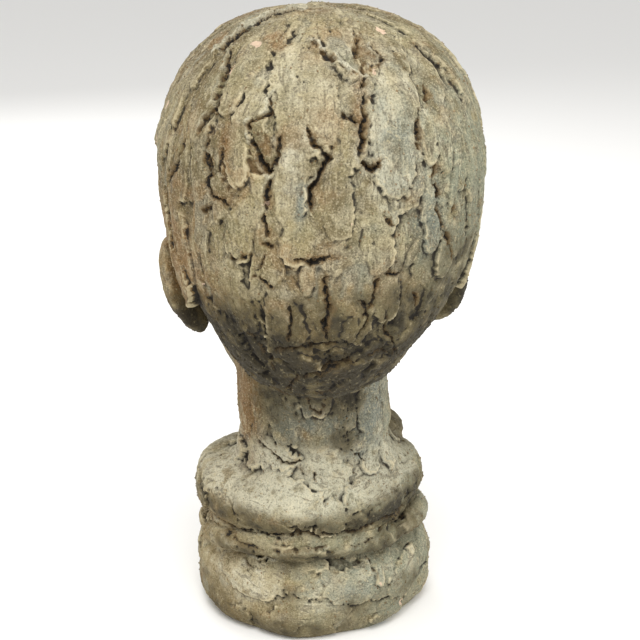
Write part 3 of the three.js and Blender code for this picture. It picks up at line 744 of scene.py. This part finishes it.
# The same on the neck, collar and base, by turn and height.
LOW_CREVICES = [
    (
        [(78, 63), (62, 60), (46, 60), (30, 62), (12, 64), (-6, 63), (-24, 62), (-40, 66), (-66, 66)],
        0.6, 1.6, 0.5,
    ),
    ([(46, 108), (34, 105), (24, 100), (12, 102)], 0.5, 1.4, 0.9),
    ([(-24, 106), (-34, 99)], 0.5, 1.4, 0.5),
    ([(3, 96), (3, 92)], 0.4, 1.2, 0),
    ([(80, 59), (62, 55), (44, 52), (28, 53), (12, 56), (-4, 57)], 0.5, 0.9, 0.8),
    ([(-16, 55), (-30, 56), (-46, 60), (-58, 65)], 0.5, 0.9, 0.8),
    ([(46, 47), (34, 46), (20, 48)], 0.6, 1.2, 0.6),
    ([(10, 149), (2, 150), (-8, 149)], 0.5, 1.4, 0.4),
    ([(26, 160), (22, 152), (14, 146)], 0.5, 1.4, 0.3),
    ([(-33, 42), (-35, 35), (-34, 31)], 0.5, 1.2, 0.6),
    ([(46, 40), (36, 38)], 0.4, 1.0, 0.6),
    ([(9, 202), (8, 194), (9, 186)], 0.6, 2.0, 0.5),
    ([(-2, 199), (-1, 193), (-2, 186)], 0.5, 1.8, 0.5),
    ([(-12, 204), (-14, 195), (-11, 187)], 0.8, 2.4, 0.5),
    ([(-19, 197), (-22, 184), (-29, 171)], 0.6, 2.0, 0.8),
    ([(14, 178), (7, 181), (-1, 184), (-9, 183)], 0.7, 2.2, 0.6),
    ([(2, 168), (-6, 173), (-11, 173), (-18, 177), (-24, 174)], 0.6, 2.0, 0.6),
    ([(14, 151), (7, 162), (1, 167), (-6, 171)], 0.7, 2.2, 0.4),
    ([(38, 181), (37, 172), (34, 163), (25, 157), (24, 136)], 0.6, 2.0, 0.3),
    ([(-36, 168), (-30, 162), (-19, 158), (-10, 152)], 0.6, 2.0, 0.6),
    ([(23, 189), (18, 178), (16, 166)], 0.5, 1.6, 0.5),
    ([(8, 155), (7, 142), (5, 131), (-3, 129), (-6, 141), (-5, 152)], 0.35, 1.2, 0.6),
]
way_out = in_head_frame - HAIR_CENTRE
way_out /= np.linalg.norm(way_out, axis=1)[:, None]


def on_hair(lon, lat):
    """The point of the skin at a longitude and latitude of the hair."""
    lon, lat = np.radians([lon, lat])
    out = np.array([np.cos(lat) * np.sin(lon), np.cos(lat) * np.cos(lon), np.sin(lat)])
    return int(np.argmax(way_out @ out - 0.01 * (AREA["hair"] < 0.5)))


CREVICE_REACH = 9
CREVICE_LIP = 0.9  # millimetres from the opening to the crest of its lip
SLOPE_REACH, CRUMB_REACH = 2.5, 4.5  # the sloping side's fall and the loose clay on it, in millimetres
# No course runs quite true.
strayed = skin + 1.1 * np.stack(COARSE, 1) + 0.7 * np.stack(FINE, 1) + 0.3 * GRIT[:, None]


def crevice(course, half_width, depth, lip, brown):
    """A torn crevice along a course of points. Its left side is lipped, its right side slopes out."""
    closest = np.full(len(skin), 1e3)  # how far each point is from the course
    side, share = np.zeros(len(skin)), np.zeros(len(skin))  # which side of it, and how far along it
    for step, (a, b) in enumerate(zip(course, course[1:])):
        middle, run = (skin[a] + skin[b]) / 2, skin[b] - skin[a]
        near = np.array([n for _, n, _ in tree.find_range(middle, np.linalg.norm(run) / 2 + CREVICE_REACH)])
        t = np.clip((strayed[near] - skin[a]) @ run / max(run @ run, 1e-6), 0, 1)
        offset = strayed[near] - skin[a] - t[:, None] * run
        offset -= (offset * normal[near]).sum(1)[:, None] * normal[near]
        away = np.linalg.norm(offset, axis=1)
        better = away < closest[near]
        closest[near[better]] = away[better]
        side[near[better]] = np.sign(offset @ np.cross(run, normal[a]))[better]
        share[near[better]] = ((step + t) / (len(course) - 1))[better]
    near = np.flatnonzero(closest < CREVICE_REACH)
    away, side, share = closest[near], side[near], share[near]
    uneven = COARSE[chance.integers(3)][near]
    tapered = 0.4 + 0.6 * np.sin(np.pi * share) ** 0.5
    open_width = half_width * tapered * np.clip(1 + 0.3 * uneven, 0.5, 1.4)
    inside = open_width - away
    gap[near] = np.maximum(gap[near], inside)
    floor = (side < 0) * np.exp(-away / SLOPE_REACH)
    pushed = (side > 0) * np.exp(-((away - open_width - CREVICE_LIP) ** 2)) * smooth(uneven, -0.6, 0.2)
    trench = smooth(inside, -0.7, 0.5) * np.clip(0.85 + 0.25 * uneven, 0.5, 1.1)
    height[near] += lip * pushed - depth * (trench + 0.35 * floor)
    spill = open_width + np.where(side < 0, CRUMB_REACH, 1.2) * np.clip(0.7 + 0.6 * uneven, 0.2, 1.4)
    crumb[near] = np.maximum(crumb[near], brown * smooth(-away, -spill, -0.5 * open_width))
    rubbed[near] = np.maximum(rubbed[near], lip * pushed)


LAID_LAST = [  # strips, how they are placed, area, raggedness, and how much shows through from below
    (LAST_STRIPS, on_hair, "hair", 0.15, 0.2),
    (LAST_DABS, on_body, "body", 0.24, 0.25),
    (NAPE_STRIPS, on_body, "any", 0.24, 0.4),
]
for strips, place, area, rough, keep in LAID_LAST:
    for along, up, length, width, thickness, lean, shade, blue in strips:
        at = place(along, up)
        dab(at, turned(at, DOWN, lean), length, width, thickness, area, shade, blue, rough, keep)
ridge = -sunk(skin + normal * height[:, None], rounds=6)
for crevices, place, brown in ((CREVICES, on_hair, 1.0), (LOW_CREVICES, on_body, 0.25)):
    for course, half_width, depth, lip in crevices:
        crevice([place(*spot) for spot in course], half_width, depth, lip, brown)
# Flakes of clay that fell back over the crevices and their crumbly floors.
FLAKES = 260
for at in chance.choice(np.flatnonzero((crumb > 0.2) & (standing > 8)), FLAKES):
    direction = turned(at, DOWN, chance.normal(0, 50))
    size = chance.uniform(3, 8), chance.uniform(2, 4.5), chance.uniform(0.4, 1.1)
    dab(at, direction, *size, "any", chance.normal(0.1, 0.5), rough=0.35, keep=0.5)


# Small pits where air was caught, scattered singly and in a few rows and clusters, and the grit of
# the plaster. Chips show the bare peach-coloured plaster under the patina.
PITS = 110
PIT_RADIUS = (0.5, 1.2)
SMALL_CHIPS = 26
CLUSTERS = [  # middle, pits, spread across, spread up
    (on_body(-19, 122), 44, 2.2, 14),
    (on_body(14, 26), 4, 2.0, 2),
    (on_body(34, 14), 3, 3, 2),
    (on_hair(16, 52), 9, 2.2, 3),
    (on_hair(62, 26), 4, 1.2, 2),
    (on_hair(18, 38), 3, 1.2, 2),
    (on_hair(-38, 12), 6, 2, 16),
    (on_hair(-30, 30), 5, 2, 12),
    (on_hair(47, 10), 9, 2.0, 10),
]
CHIPS = [  # middle, radius
    (on_hair(47, 40), 1.8),
    (on_hair(40, 50), 2.4),
    (on_hair(88, 24), 2.6),
    (on_hair(90, 12), 2.8),
    (on_hair(-28, 57), 2.6),
    (on_body(-56, 12), 2.2),
    (on_hair(26, 0), 1.0),
    (on_hair(-12, 40), 1.3),
]
chip = np.full(len(skin), -3.0)  # how far inside the nearest chip, in millimetres


def pit(at, radius, depth):
    """A pit with a ragged edge. Returns the points near it and how far each is from its middle."""
    near = np.array([n for _, n, _ in tree.find_range(skin[at], 2.2 * radius)])
    away = np.linalg.norm(skin[near] - skin[at], axis=1) + 0.8 * radius * FINE[0][near]
    height[near] -= depth * smooth(-away, -radius, 0)
    return near, away


worked = np.maximum(AREA["hair"], AREA["body"])
for at in chance.choice(np.flatnonzero(worked > 0.5), PITS):
    radius = chance.uniform(*PIT_RADIUS)
    pit(at, radius, 0.8 * radius)
for middle, pits, wide, tall in CLUSTERS:
    across, along = across_and_along(middle, DOWN)
    for _ in range(pits):
        spot = skin[middle] + chance.normal(0, wide) * across + chance.normal(0, tall) * along
        radius = chance.uniform(0.4, 1.0)
        pit(tree.find(spot)[1], radius, 0.9 * radius)
proud = np.flatnonzero((ridge > 0.35) & (worked > 0.5))
for at, radius in CHIPS + [(at, chance.uniform(0.4, 0.9)) for at in chance.choice(proud, SMALL_CHIPS)]:
    near, away = pit(at, radius, 0.4)
    chip[near] = np.maximum(chip[near], radius - away)


# Stains of the patina and painted light: grime and painted shade under the hair, in the nape, by the ears
# and in the groove over the base, a bluish skin here and there, rust on one side of the neck, chalk and
# painted highlight on the shoulders, crown and front, and a cast of moss green on one side and ochre on the
# other.
STAINS = {  # middle, spread each way, strength
    # grime, and painted shade where the hair hangs over the nape and neck, by the ears and in the groove
    # over the base
    "grime": [
        ((0, 80, 174), (60, 46, 18), 1.4),
        ((0, 54, 158), (52, 40, 12), 0.9),
        ((0, 70, 152), (44, 22, 12), 1.1),
        ((-6, 90, 198), (52, 40, 14), 0.45),
        ((-45, 78, 200), (24, 30, 22), 0.5),
        ((25, 44, 134), (10, 20, 18), 0.9),
        ((0, 46, 144), (26, 30, 10), 0.6),
        ((-15, 46, 130), (6, 24, 22), 0.9),
        ((-4, 44, 110), (26, 20, 5), 0.5),
        ((0, 46, 134), (24, 20, 14), 0.6),
        ((-78, 8, 192), (14, 24, 20), 0.8),
        ((-74, 4, 178), (12, 18, 16), 1.3),
        ((80, 6, 188), (14, 24, 16), 0.4),
        ((70, 12, 168), (16, 20, 12), 1.2),
        ((-38, 34, 70), (24, 30, 12), 0.9),
        ((15, 52, 34), (5, 16, 14), 0.7),
        ((-46, 28, 22), (14, 26, 10), 0.7),
        ((-20, 48, 20), (10, 20, 6), 0.8),
        ((58, 24, 18), (16, 30, 12), 0.6),
        ((-66, 54, 216), (14, 24, 26), 0.7),
        ((20, 56, 6), (50, 40, 7), 0.8),
        ((46, 56, 172), (24, 26, 14), 1.6),
        ((50, 56, 182), (24, 30, 14), 0.7),
        ((38, 72, 180), (18, 26, 16), 0.8),
        ((42, 42, 152), (14, 24, 14), 0.5),
        ((-52, 54, 176), (22, 26, 14), 1.8),
        ((-84, 6, 200), (12, 20, 18), 0.8),
        ((44, 76, 196), (14, 20, 16), 0.2),
        ((-60, 0, 74), (22, 50, 10), 0.6),
        ((58, 10, 72), (20, 50, 8), 0.5),
        ((-50, 32, 62), (20, 24, 12), 0.6),
        ((-46, -30, 96), (11, 24, 12), 1.2),
        ((62, 34, 174), (14, 20, 12), 1.0),
        ((0, 50, 68), (80, 60, 6), 0.9),
        ((0, 58, 50), (80, 60, 5), 0.8),
    ],
    "blue": [
        ((13, 42, 126), (13, 20, 14), 1.6),
        ((-24, 34, 134), (16, 30, 30), 0.9),
        ((-34, 86, 280), (15, 20, 24), 0.5),
        ((-52, 77, 238), (10, 20, 20), 0.6),
        ((-18, 48, 32), (24, 20, 16), 0.45),
        ((8, 96, 252), (3, 10, 10), 1.0),
        ((-24, 94, 228), (14, 20, 20), 0.3),
        ((-18, 38, 122), (14, 20, 18), 0.8),
    ],
    "rust": [
        ((38, 26, 134), (8, 26, 34), 1.7),
        ((60, 54, 212), (22, 30, 20), 1.1),
        ((72, 44, 234), (20, 30, 20), 0.5),
        ((60, 46, 184), (20, 26, 16), 0.9),
        ((56, 30, 286), (26, 34, 34), 0.35),
        ((19, 57, 319), (8, 12, 12), 0.7),
        ((-18, 84, 288), (4, 12, 22), 0.8),
        ((41, 84, 268), (3, 10, 14), 0.8),
    ],
    "chalk": [
        # chalky patina, and painted highlight: the collar tops and crown paler where light falls from
        # above, the front of the face and shoulders paler as painted light
        ((12, 48, 103), (46, 26, 10), 1.2),
        ((26, 44, 86), (34, 40, 13), 1.0),
        ((-24, 42, 88), (26, 40, 13), 1.1),
        ((64, 8, 88), (22, 40, 18), 0.9),
        ((50, 8, 102), (18, 26, 12), 0.6),
        ((-46, 24, 92), (18, 26, 12), 0.9),
        ((46, 36, 30), (28, 34, 14), 0.7),
        ((0, -90, 195), (60, 50, 50), 0.35),
        ((0, -60, 86), (60, 40, 16), 0.7),
        ((0, -60, 290), (60, 40, 30), 0.3),
        ((-8, 50, 26), (40, 34, 16), 0.3),
        ((-48, 34, 30), (22, 34, 18), 0.3),
        ((10, 72, 302), (32, 30, 24), 0.3),
        ((-30, 84, 262), (16, 20, 30), 0.5),
        ((12, 94, 262), (10, 20, 22), 0.5),
        ((-29, 28, 130), (8, 20, 24), 0.8),
        ((83, 12, 200), (12, 20, 34), 0.5),
        ((-40, 70, 296), (30, 30, 30), 0.25),
    ],
    "moss": [
        ((-92, 50, 236), (58, 90, 90), 1.1),
        ((-10, 40, 70), (50, 60, 70), 0.55),
        ((-50, 30, 60), (26, 50, 60), 0.8),
        ((-46, 28, 26), (24, 30, 24), 0.6),
    ],
    "ochre": [
        ((90, 30, 200), (38, 60, 60), 0.85),
        ((58, 20, 66), (22, 50, 50), 0.8),
        ((-52, 26, 52), (12, 24, 12), 0.7),
        ((56, 20, 92), (22, 30, 14), 0.4),
        ((38, 34, 26), (28, 34, 20), 0.9),
    ],
}
stain = {kind: np.zeros(len(skin)) for kind in STAINS}
for kind, patches in STAINS.items():
    for middle, spread, strength in patches:
        away = np.linalg.norm((skin - middle) / spread, axis=1)
        stain[kind] += strength * np.exp(-(away**2)) * (1 + 0.6 * COARSE[1] + 0.35 * FINE[1])
stain["chalk"] += rubbed * np.exp(-1.5 * np.maximum(stain["grime"], 0))
grimed_and_shaded = np.clip(stain["grime"], 0, 1)
grit_height = 0.03 + 0.05 * worked + 0.3 * crumb + 0.12 * grimed_and_shaded
height += (0.08 + 0.1 * worked) * FINE[1] + grit_height * GRIT
height *= smooth(standing, 0, 3)

skin_now = skin + normal * height[:, None]
skin_now[:, 2] = np.maximum(skin_now[:, 2], 0)
bust.data.vertices.foreach_set("co", (skin_now * MM).ravel())
bust.data.update()


# Hollows hold the dark of the patina, deepened with painted shade, and ridges are rubbed pale. Both are
# measured on the finished surface, as the depth of each point below its smoothed surroundings, and kept on
# its points with the marks and stains.
hollow = sunk(skin_now, rounds=6)
loose = np.clip(0.7 * crumb + 0.06 * worked + 0.3 * smooth(hollow, 0.1, 0.4) + 0.12 * grimed_and_shaded, 0, 1)
KEPT = {
    # hollow and basin darken the colour both as patina in the hollows and as painted shade
    "hollow": hollow * (1 - 0.35 * AREA["stand"]) * (1 + 0.8 * grimed_and_shaded),
    "basin_patina_and_shade": sunk(skin_now, rounds=60),
    "tone": tone,
    "ridge": ridge * np.exp(-np.maximum(stain["grime"], 0)),
    "grey": grey,
    "crumb": crumb,
    "gap": gap,
    "chip": chip,
    "loose": loose * smooth(standing, 4, 8),
    "combed": np.clip(AREA["hair"] + 0.5 * AREA["neck"], 0.25, 1),
}
for name, values in (KEPT | stain).items():
    layer = bust.data.attributes.new(name, "FLOAT", "POINT")
    layer.data.foreach_set("value", np.ascontiguousarray(values, np.float32))
layer = bust.data.attributes.new("stroke", "FLOAT_VECTOR", "POINT")
layer.data.foreach_set("vector", np.ascontiguousarray(stroke * MM, np.float32).ravel())

MOST_TRIANGLES = 195000
triangles = sum(len(p.vertices) - 2 for p in bust.data.polygons)
apply_modifier(bust, "DECIMATE", ratio=MOST_TRIANGLES / triangles, use_collapse_triangulate=True)
bust.data.polygons.foreach_set("use_smooth", [True] * len(bust.data.polygons))


# The finish: earth pigments brushed over the plaster and rubbed back. It gives a matt olive-tan
# skin, dark brown and gritty in the hollows, with painted shade over them and painted shadow in the
# crevices, chalky on the ridges, and peach where it is chipped.
def add(tree, kind, settings=None, **links):
    """Adds a node, sets what settings names, and links or sets each input given by name or number."""
    node = tree.nodes.new(kind)
    for name, value in (settings or {}).items():
        setattr(node, name, value)
    for name, value in links.items():
        key = int(name[1:]) if name[0] == "_" else name.replace("_", " ")
        socket = node.inputs[key]
        if isinstance(value, bpy.types.NodeSocket):
            tree.links.new(value, socket)
        else:
            socket.default_value = value
    return node


BUMP_DEPTH = 1.1 * MM
LEAST_ROUGH, MOST_ROUGH = 0.78, 0.95
PLASTER = "#70623f"  # under all the washes
plaster = bpy.data.materials.new("patinated plaster")
plaster.use_nodes = True
coat = plaster.node_tree
shader = coat.nodes["Principled BSDF"]
where = add(coat, "ShaderNodeTexCoord").outputs["Object"]
marks = add(coat, "ShaderNodeAttribute", {"attribute_name": "stroke"}).outputs["Vector"]
drawn_out = add(coat, "ShaderNodeMapping", None, Vector=marks, Scale=(1, 0.07, 1)).outputs[0]
torn = add(coat, "ShaderNodeMapping", None, Vector=marks, Scale=(1, 0.22, 1)).outputs[0]
NOISES = {  # coordinates, size in millimetres, detail, roughness
    "sand": (where, 0.9, 2, 0.7),
    "grain": (where, 2.0, 4, 0.7),
    "blotch": (where, 9, 6, 0.65),
    "flake": (where, 16, 8, 0.6),
    "warm": (where, 26, 4, 0.6),
    "patch": (where, 34, 3, 0.5),
    "streak": (drawn_out, 1.7, 3, 0.6),
    "tear": (torn, 9, 3, 0.6),
}
laid = {}
for name, (place, grain, detail, rough) in NOISES.items():
    per_metre = 1 / (grain * MM)
    laid[name] = add(
        coat, "ShaderNodeTexNoise", None, Vector=place, Scale=per_metre, Detail=detail, Roughness=rough
    ).outputs[0]
for name in KEPT | stain:
    laid[name] = add(coat, "ShaderNodeAttribute", {"attribute_name": name}).outputs["Fac"]
SUMS = [  # result, first, times, plus: edges are made ragged, grains crowd where the clay is loose
    ("off_tear", "tear", 1.0, -0.5),
    ("off_streak", "streak", 1.0, -0.5),
    ("combing", "off_streak", "combed", 0.5),
    ("coarsely_ragged", "grain", 2.6, -1.3),
    ("finely_ragged", "sand", 2.0, -1.0),
    ("ragged", "finely_ragged", 1.0, "coarsely_ragged"),
    ("off_blotch", "blotch", 2.4, -1.15),
    ("broken", "off_blotch", 1.0, "ragged"),
    ("torn_gap", "broken", 1.0, "gap"),
    ("torn_chip", "ragged", 1.0, "chip"),
    ("unevenly_ragged", "ragged", 0.5, "off_blotch"),
    ("mottled", "flake", 3.0, -1.5),
    ("gritty", "unevenly_ragged", 0.7, "mottled"),
    ("torn_grime_and_shade", "gritty", "grime", "grime"),
    ("finely_mottled", "blotch", 4.0, -2.0),
    ("torn_chalk_and_highlight", "finely_mottled", "chalk", "chalk"),
    ("pale_grain", "crumb", 0.07, "grain"),
    ("dark_grain", "crumb", -0.07, "grain"),
]
for result, first, times, plus in SUMS:
    times, plus = laid.get(times, times), laid.get(plus, plus)
    total = add(coat, "ShaderNodeMath", {"operation": "MULTIPLY_ADD"}, _0=laid[first], _1=times, _2=plus)
    laid[result] = total.outputs[0]
tear_line = add(coat, "ShaderNodeMath", {"operation": "ABSOLUTE"}, _0=laid["off_tear"]).outputs[0]
laid["hairline"] = add(
    coat, "ShaderNodeMath", {"operation": "MULTIPLY_ADD"}, _0=laid["blotch"], _1=-0.25, _2=tear_line
).outputs[0]
WASHES = [  # in the order of brushing: laid by, value with none of it, value with all, pigment, strength
    ("patch", 0.4, 0.6, "#978a63", 1.0),
    ("warm", 0.5, 0.64, "#8e6e47", 0.55),
    ("warm", 0.46, 0.36, "#88866a", 0.35),
    ("tone", 0.1, 1.2, "#b8ad8e", 0.7),
    ("tone", -0.1, -1.2, "#5a4f34", 0.6),
    ("grey", 0, 1, "#888a79", 0.65),
    ("flake", 0.52, 0.6, "#bcb294", 0.32),
    ("flake", 0.46, 0.38, "#6d6440", 0.34),
    ("moss", 0, 1, "#848a76", 0.75),
    ("ochre", 0, 1, "#9a8150", 0.6),
    # chalky patina with painted highlight
    ("torn_chalk_and_highlight", 0, 1, "#ccc7ae", 0.78),
    ("blue", 0, 1, "#6c736a", 0.8),
    ("rust", 0, 1, "#7c5a2c", 0.85),
    ("blotch", 0.52, 0.64, "#cdc1a0", 0.3),
    ("blotch", 0.47, 0.34, "#564b2e", 0.36),
    ("combing", 0.47, 0.36, "#4d4028", 0.26),
    ("combing", 0.55, 0.68, "#cfc19b", 0.18),
    ("hairline", -0.112, -0.135, "#3a301e", 0.5),
    ("dark_grain", 0.42, 0.32, "#2c2415", 0.5),
    ("pale_grain", 0.58, 0.68, "#e2d5b0", 0.45),
    ("sand", 0.53, 0.66, "#fff2cf", 0.2),
    # grime, with painted shade in the nape, by the ears and over the base
    ("torn_grime_and_shade", 0, 0.8, "#5a4e2e", 0.74),
    ("torn_grime_and_shade", 0.4, 1.9, "#201b0c", 0.83),
    ("sand", 0.48, 0.34, "#1d160b", 0.4),
    ("grain", 0.56, 0.7, "#a3956c", 0.4),
    ("ridge", 0.08, 0.6, "#dccda6", 0.5),
    # patina in the hollows, darkened further as painted shade
    ("basin_patina_and_shade", 0.1, 2.0, "#261e0f", 0.9),
    ("hollow", 0.07, 0.5, "#18120a", 0.86),
    ("crumb", 0.1, 1, "#876a3f", 0.5),
    # a brown rim round each crevice, then painted shadow, near black, inside its opening
    ("torn_gap", -0.8, 0.0, "#5e4a28", 0.5),
    ("torn_gap", 0.0, 0.45, "#120e07", 0.94),
    ("torn_chip", -0.1, 0.2, "#d9bda2", 0.85),
]
colour = linear(PLASTER)
for name, none_at, all_at, pigment, strength in WASHES:
    amount = add(
        coat, "ShaderNodeMapRange", {"interpolation_type": "SMOOTHSTEP"},
        _0=laid[name], _1=none_at, _2=all_at, _3=0.0, _4=strength,
    )
    colour = add(
        coat, "ShaderNodeMix", {"data_type": "RGBA"}, _0=amount.outputs[0], _6=colour, _7=linear(pigment)
    ).outputs[2]
coat.links.new(colour, shader.inputs["Base Color"])
dry = add(coat, "ShaderNodeMapRange", None, _0=laid["grain"], _1=0.3, _2=0.7, _3=MOST_ROUGH, _4=LEAST_ROUGH)
coat.links.new(dry.outputs[0], shader.inputs["Roughness"])
roughness = laid["grain"]
for name in ("sand", "combing"):
    roughness = add(
        coat, "ShaderNodeMath", {"operation": "MULTIPLY_ADD"}, _0=laid[name], _1=0.5, _2=roughness
    ).outputs[0]
line = add(coat, "ShaderNodeMapRange", None, _0=laid["hairline"], _1=-0.125, _2=-0.1, _3=0.0, _4=0.35)
relief = add(coat, "ShaderNodeMath", {"operation": "ADD"}, _0=roughness, _1=line.outputs[0])
strong = add(coat, "ShaderNodeMapRange", None, _0=laid["crumb"], _1=0.0, _2=1.0, _3=0.7, _4=1.0)
bump = add(
    coat, "ShaderNodeBump", None, Strength=strong.outputs[0], Distance=BUMP_DEPTH, Height=relief.outputs[0]
)
coat.links.new(bump.outputs[0], shader.inputs["Normal"])

bust.data.materials.clear()
bust.data.materials.append(plaster)
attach(bust, "root")
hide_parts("bust")


# Crumbs: grains and small lumps of clay that stuck in the crevices and rough places of the model and
# were cast with it. They are the same plaster, half sunk in its skin and thickest where it is loose.
CRUMBS_PER_SQUARE_METRE = 260000
SMALLEST_CRUMB = 0.25 * MM
LARGEST_CRUMB = 0.75 * MM
SEEDS = {"spots": 5, "size": 6, "tumble": 7, "tone": 8, "rust": 9}
crumbs_tree = bpy.data.node_groups.new("clay_crumbs", "GeometryNodeTree")
INPUTS = {  # of the tree, with the kind of each and its value
    "skin": ("NodeSocketGeometry", None),
    "crumbs per square metre": ("NodeSocketFloat", CRUMBS_PER_SQUARE_METRE),
    "smallest radius": ("NodeSocketFloat", SMALLEST_CRUMB),
    "largest radius": ("NodeSocketFloat", LARGEST_CRUMB),
    "finish": ("NodeSocketMaterial", plaster),
}
for name, (kind, _) in INPUTS.items():
    crumbs_tree.interface.new_socket(name, in_out="INPUT", socket_type=kind)
crumbs_tree.interface.new_socket("crumbs", in_out="OUTPUT", socket_type="NodeSocketGeometry")
given = add(crumbs_tree, "NodeGroupInput").outputs
loose = add(crumbs_tree, "GeometryNodeInputNamedAttribute", {"data_type": "FLOAT"}, Name="loose").outputs[0]
density = add(
    crumbs_tree, "ShaderNodeMath", {"operation": "MULTIPLY"}, _0=loose, _1=given["crumbs per square metre"]
)
spots = add(
    crumbs_tree, "GeometryNodeDistributePointsOnFaces", {"distribute_method": "RANDOM"},
    Mesh=given["skin"], Density=density.outputs[0], Seed=SEEDS["spots"],
).outputs["Points"]
for name, low, high in (("tone", -1.2, 1.6), ("rust", 0.0, 0.9)):
    dice = add(
        crumbs_tree, "FunctionNodeRandomValue", {"data_type": "FLOAT"}, _2=low, _3=high, Seed=SEEDS[name]
    )
    spots = add(
        crumbs_tree, "GeometryNodeStoreNamedAttribute", {"data_type": "FLOAT", "domain": "POINT"},
        Geometry=spots, Name=name, Value=dice.outputs[1],
    ).outputs[0]
size = add(crumbs_tree, "FunctionNodeRandomValue", {"data_type": "FLOAT_VECTOR"}, Seed=SEEDS["size"])
for end, socket in (("smallest radius", "Min"), ("largest radius", "Max")):
    cube = add(crumbs_tree, "ShaderNodeCombineXYZ", None, _0=given[end], _1=given[end], _2=given[end])
    crumbs_tree.links.new(cube.outputs[0], size.inputs[socket])
tumbled = add(
    crumbs_tree, "FunctionNodeRandomValue", {"data_type": "FLOAT_VECTOR"},
    _1=(2 * np.pi,) * 3, Seed=SEEDS["tumble"],
)
lump = add(crumbs_tree, "GeometryNodeMeshIcoSphere", None, Radius=1, Subdivisions=1)
placed = add(
    crumbs_tree, "GeometryNodeInstanceOnPoints", None,
    Points=spots, Instance=lump.outputs["Mesh"], Rotation=tumbled.outputs[0], Scale=size.outputs[0],
)
real = add(crumbs_tree, "GeometryNodeRealizeInstances", None, Geometry=placed.outputs[0])
finished = add(
    crumbs_tree, "GeometryNodeSetMaterial", None, Geometry=real.outputs[0], Material=given["finish"]
)
add(crumbs_tree, "NodeGroupOutput", None, _0=finished.outputs[0])
crumbs = bpy.data.objects.new("clay_crumbs", bust.data.copy())
bpy.context.scene.collection.objects.link(crumbs)
scattered = crumbs.modifiers.new("scattered", "NODES")
scattered.node_group = crumbs_tree
for item in crumbs_tree.interface.items_tree:
    if item.in_out == "INPUT" and INPUTS[item.name][1] is not None:
        scattered[item.identifier] = INPUTS[item.name][1]
make_plain(crumbs)
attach(crumbs, "root")

low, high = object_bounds()
